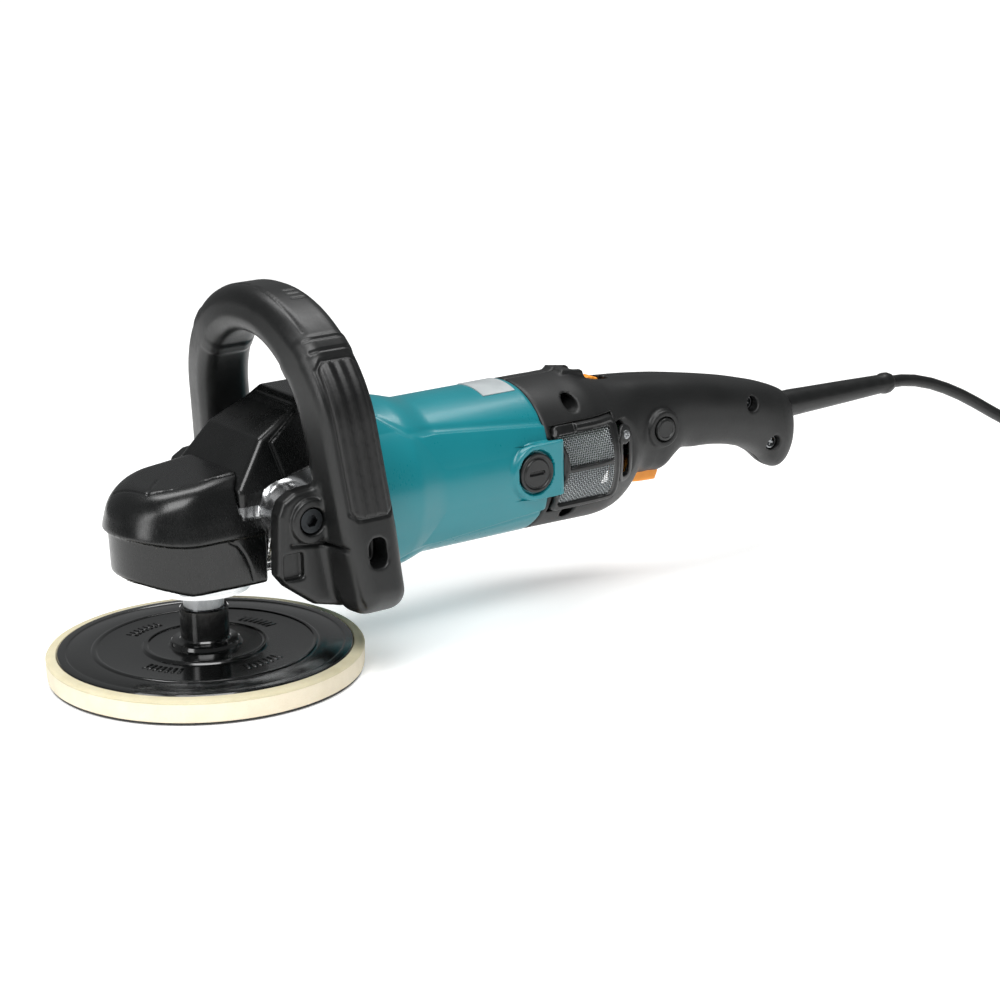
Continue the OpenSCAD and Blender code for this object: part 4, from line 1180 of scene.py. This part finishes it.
def makePlateMarks():
    tree, given = newTree("plateMarks", ["Length", "Width", "High"])
    length, width, high = (given[i] for i in range(1, 4))
    spot = addNode(tree, "GeometryNodeInputPosition").outputs[0]
    points = addNode(tree, "GeometryNodeMeshToPoints", {0: given[0], "Position": spot}).outputs[0]
    block = addNode(tree, "GeometryNodeMeshCube", {"Size": vector(tree, {0: length, 1: width, 2: high})})
    parts = addNode(tree, "ShaderNodeSeparateXYZ", {0: spot})
    turn = vector(tree, {2: sums(tree, "ARCTAN2", parts.outputs[1], parts.outputs[0])})
    placed = addNode(tree, "GeometryNodeInstanceOnPoints", {
        "Points": points, "Instance": block.outputs[0],
        "Rotation": addNode(tree, "FunctionNodeEulerToRotation", {0: turn}).outputs[0]})
    closeTree(tree, placed.outputs[0], plateAbs)
    spots = []
    for middle, r in plateMarks["arcs"]:
        turns = [math.radians(middle + plateMarks["spacing"] * k) for k in range(-3, 4)]
        spots += [(r * math.cos(a), r * math.sin(a), plateMarks["z"]) for a in turns]
    sizes = {k.title(): plateMarks[k] / 1000 for k in ("length", "width", "high")}
    runTree("plateMarks", tree, sizes, pointMesh("plateMarks", spots), "spindle", plateAbs)


makePlateMarks()


# a cross-recessed screw head, set in each screw hole of the left half and on the left clip
def makeScrews():
    step = 0.25
    low, high = (-4.5, -4.5, -1.6), (4.5, 4.5, 2.2)
    x, y, z = space(low, high, step)
    r = np.hypot(x, y)
    dome = both(r - 3.8, np.sqrt(r ** 2 + (z + 5.2) ** 2) - 7.0, -1.2 - z)
    cross = np.minimum(both(np.abs(x) - 0.6, np.abs(y) - 2.1), both(np.abs(y) - 0.6, np.abs(x) - 2.1))
    field = smoothMax(dome, -both(cross, 0.5 - z), 0.25)
    points, faces = meshField(field, low, step, 1)
    mesh = bpy.data.meshes.new("screwHead")
    mesh.from_pydata((points * 0.001).tolist(), [], faces.tolist())
    pattern = bpy.data.objects.new("screwHead", mesh)
    tree, given = newTree("screws", ["Scale"])
    info = addNode(tree, "GeometryNodeObjectInfo", {"Object": pattern})
    placed = addNode(tree, "GeometryNodeInstanceOnPoints", {
        "Points": given[0], "Instance": info.outputs["Geometry"],
        "Rotation": addNode(tree, "FunctionNodeEulerToRotation", {0: (math.pi / 2, 0.4, 0)}).outputs[0],
        "Scale": vector(tree, {0: given[1], 1: given[1], 2: given[1]})})
    closeTree(tree, placed.outputs[0], turnedSteel)
    spots = [(px, -13.0, pz) for px, pz in handle["screws"]]
    runTree("handleScrewHeads", tree, {"Scale": 1.0}, pointMesh("handleScrewHeads", spots), "housing",
            blackOxide)
    spots = [(262, clipY(), 95.5)]
    runTree("clipScrewHeads", tree, {"Scale": 0.72}, pointMesh("clipScrewHeads", spots), "housing",
            turnedSteel)
    bpy.data.objects.remove(pattern)


def clipY():
    x = np.array([262.0], np.float32)
    top, bottom, wide, power = (float(stationCurve(x, k)[0]) for k in (1, 2, 3, 4))
    mid, high = (top + bottom) / 2, (top - bottom) / 2
    share = max(0.0, 1 - (abs(95.5 - mid) / high) ** power) ** (1 / power)
    return -(wide * share + 2.2)


makeScrews()


# lock button, trigger, dial and spindle lock
def makeControls():
    hx, hz = handle["button"]
    button = [(0, -14.9), (8.9, -14.9), (8.9, -17), (7.0, -17.1), (7.0, -27.4), (6.5, -28.2),
              (5.2, -28.5), (4.8, -28.1), (0, -28.1)]
    turned("lockButton", button, (hx, 0, hz), "y", blackAcetal, "lock_button", "black_plastic", 64, 35,
           ("lock_button",))
    low, high, step = (279, -10, 52), (319, 10, 86), 0.5
    x, y, z = space(low, high, step)
    side = outlineField(x, z, [(281.5, 57), (293, 55.6), (305.5, 55), (307.4, 59), (308.6, 63.4),
                               (310, 68), (310.6, 74.8), (316.5, 75), (316.5, 83), (307, 83), (304, 70),
                               (283, 70)])
    field = smoothMax(side, np.abs(y) - 8.5, 1.8)
    field = cut(field, rodField(x, z, 312, 79, 2.1, y, -20, 20), 0.2)
    sculpt("triggerLever", field, low, step, orangeNylon, "trigger", "orange", ("trigger",))


makeControls()


# the dial's rim: a disc with even teeth
dial = {"teeth": 24, "depth": 0.6, "half": 4.4}


def makeDial():
    low, high, step = (245, -6, 98.5), (273, 6, 126.5), 0.4
    x, y, z = space(low, high, step)
    cx, cz = handle["dial"]
    r, a = np.hypot(x - cx, z - cz), np.arctan2(z - cz, x - cx)
    rim = r - (handle["dialR"] - dial["depth"] * (0.5 - 0.5 * np.cos(a * dial["teeth"])))
    field = smoothMax(rim, np.abs(y) - dial["half"], 0.8)
    field = cut(field, r - 2.1, 0.2)
    sculpt("speedDial", field, low, step, orangeNylon, "speed_dial", "orange", ("speed_dial",))


makeDial()


# bolts that hold the loop: a socket cap screw on each side
def makeBolts():
    for side, name in ((-1, "boltLeft"), (1, "boltRight")):
        low, high, step = (24, min(side * 55, side * 65), 85), (40, max(side * 55, side * 65), 101), 0.35
        x, y, z = space(low, high, step)
        out, u, v = y * side, x - head["bolt"][0], z - head["bolt"][1]
        cap = smoothMax(np.hypot(u, v) - 6.5, between(out, 57.0, 63.0), 0.8)
        hexagon = both(np.abs(v), both(np.abs(u * 0.866 + v * 0.5), np.abs(u * 0.866 - v * 0.5))) - 3.4
        field = smoothMax(cap, -both(hexagon, 59.6 - out), 0.3)
        sculpt(name, field, low, step, blackOxide, "housing", "bolt_steel", rounds=2)


makeBolts()


# spindle lock on the right of the nose
shaftButton = [(0, 38.6), (6.9, 38.6), (6.9, 41.6), (6.3, 42.3), (5.4, 42.5), (0, 42.5)]
turned("shaftLockCap", shaftButton, (0, 0, 88), "y", blackAcetal, "shaft_lock", "black_plastic", 48, 35)


# blank rating label, curved round the top of the housing
label = {"x": (175.0, 197.0), "angles": (-21.5, 11.5), "proud": 0.55, "rows": 26}


def makeLabel():
    points, faces, rows = [], [], label["rows"]
    start, end = label["angles"]
    for r in (motor["radius"] + label["proud"], motor["radius"] - 0.2):
        for i in range(rows):
            a = math.radians(start + (end - start) * i / (rows - 1))
            for x in label["x"]:
                points.append((x, r * math.sin(a), motor["z"] + r * math.cos(a)))
    k = rows * 2
    for i in range(rows - 1):
        a, b, c, d = 2 * i, 2 * i + 1, 2 * i + 3, 2 * i + 2
        faces += [(a, b, c, d), (k + d, k + c, k + b, k + a), (a, d, k + d, k + a), (b, k + b, k + c, c)]
    faces += [(0, k, k + 1, 1), (k - 2, k - 1, 2 * k - 1, 2 * k - 2)]
    piece = addPiece("ratingLabel", points, faces, labelFilm, "housing", "label", None, ("rating_label",))
    tidyMesh(piece, 30)


makeLabel()
print("controls made")


# ---- finishes of the CAD parts that show or sit inside ----

finishes = {turnedSteel: ["spindle", "layshaft", "armature_shaft", "retainer_screws", "motor_screws",
                          "trigger_pin", "handle_screws", "bevel_gear", "bevel_pinion", "lay_gear",
                          "motor_pinion", "trigger_spring", "lock_button_spring", "shaft_lock_spring"],
            turnedAluminium: ["bearing_retainer", "gearbox_bulkhead"],
            bearingSteel: ["spindle_bearing_lower", "spindle_bearing_upper", "layshaft_bearings",
                           "armature_bearings"],
            lamination: ["armature_core", "stator_core"],
            enamelledCopper: ["armature_windings", "stator_coils", "commutator"],
            stampedBrass: ["brush_holders"],
            pressedCarbon: ["carbon_brushes"],
            pottedBoard: ["speed_controller"],
            innerNylon: ["fan", "fan_baffle", "switch_body", "cord_clamp"],
            nitrileCover: ["rear_bearing_bush"],
            blackOxide: ["loop_bolts"],
            blackAcetal: ["shaft_lock"],
            nickelPlate: ["plug_pins"]}
for material, nodes in finishes.items():
    for node in nodes:
        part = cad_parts[node]
        for place in part.material_slots:
            place.material = material
print("finishes set")


# ---- floor and light ----

studio = {"floor": "#f6f6f5", "reach": 1.05, "glow": 0.32, "room": 0.22, "key": 26, "fill": 8, "rim": 17}


def makeStudio():
    paperLook = {"Roughness": 0.85, "Specular IOR Level": 0.2, "Emission Color": (1, 1, 1, 1),
                 "Emission Strength": studio["glow"]}
    material, tree, shader, where = newMaterial("paperFloor", paperLook)
    paper = grain(tree, where, 400, 2)
    tree.links.new(tint(tree, paper, studio["floor"], "#f7f7f6"), shader.inputs["Base Color"])
    mesh = bpy.data.meshes.new("floor")
    turns = [2 * math.pi * i / 96 for i in range(96)]
    rim = [(0.2 + studio["reach"] * math.cos(a), studio["reach"] * math.sin(a), 0) for a in turns]
    mesh.from_pydata(rim, [], [range(len(rim))])
    mesh.materials.append(material)
    floor = bpy.data.objects.new("floor", mesh)
    bpy.context.scene.collection.objects.link(floor)
    world = bpy.data.worlds.new("studio")
    bpy.context.scene.world = world
    world.use_nodes = True
    back = world.node_tree.nodes["Background"]
    back.inputs["Color"].default_value = linear("#f7f9fa")
    # the paper sweep is bright to look at, but the room round it is dim, so black parts stay black
    seen = addNode(world.node_tree, "ShaderNodeLightPath").outputs["Is Camera Ray"]
    level = addNode(world.node_tree, "ShaderNodeMapRange",
                    {"Value": seen, "To Min": studio["room"], "To Max": 1.15})
    world.node_tree.links.new(level.outputs["Result"], back.inputs["Strength"])
    lamps = [("key", (-0.5, -0.9, 1.5), (0.15, 0, 0.08), (1.2, 0.9), studio["key"]),
             ("overhead", (0.35, 0.35, 1.5), (0.2, 0, 0.1), (1.6, 0.5), studio["rim"]),
             ("fill", (-1.4, -0.3, 0.6), (0.05, 0, 0.1), (0.5, 1.0), studio["fill"])]
    for name, at, aim, size, power in lamps:
        data = bpy.data.lights.new(name, "AREA")
        data.shape, data.size, data.size_y, data.energy = "RECTANGLE", size[0], size[1], power
        lamp = bpy.data.objects.new(name, data)
        lamp.location = at
        lamp.rotation_euler = (Vector(aim) - Vector(at)).to_track_quat("-Z", "Y").to_euler()
        bpy.context.scene.collection.objects.link(lamp)


makeStudio()
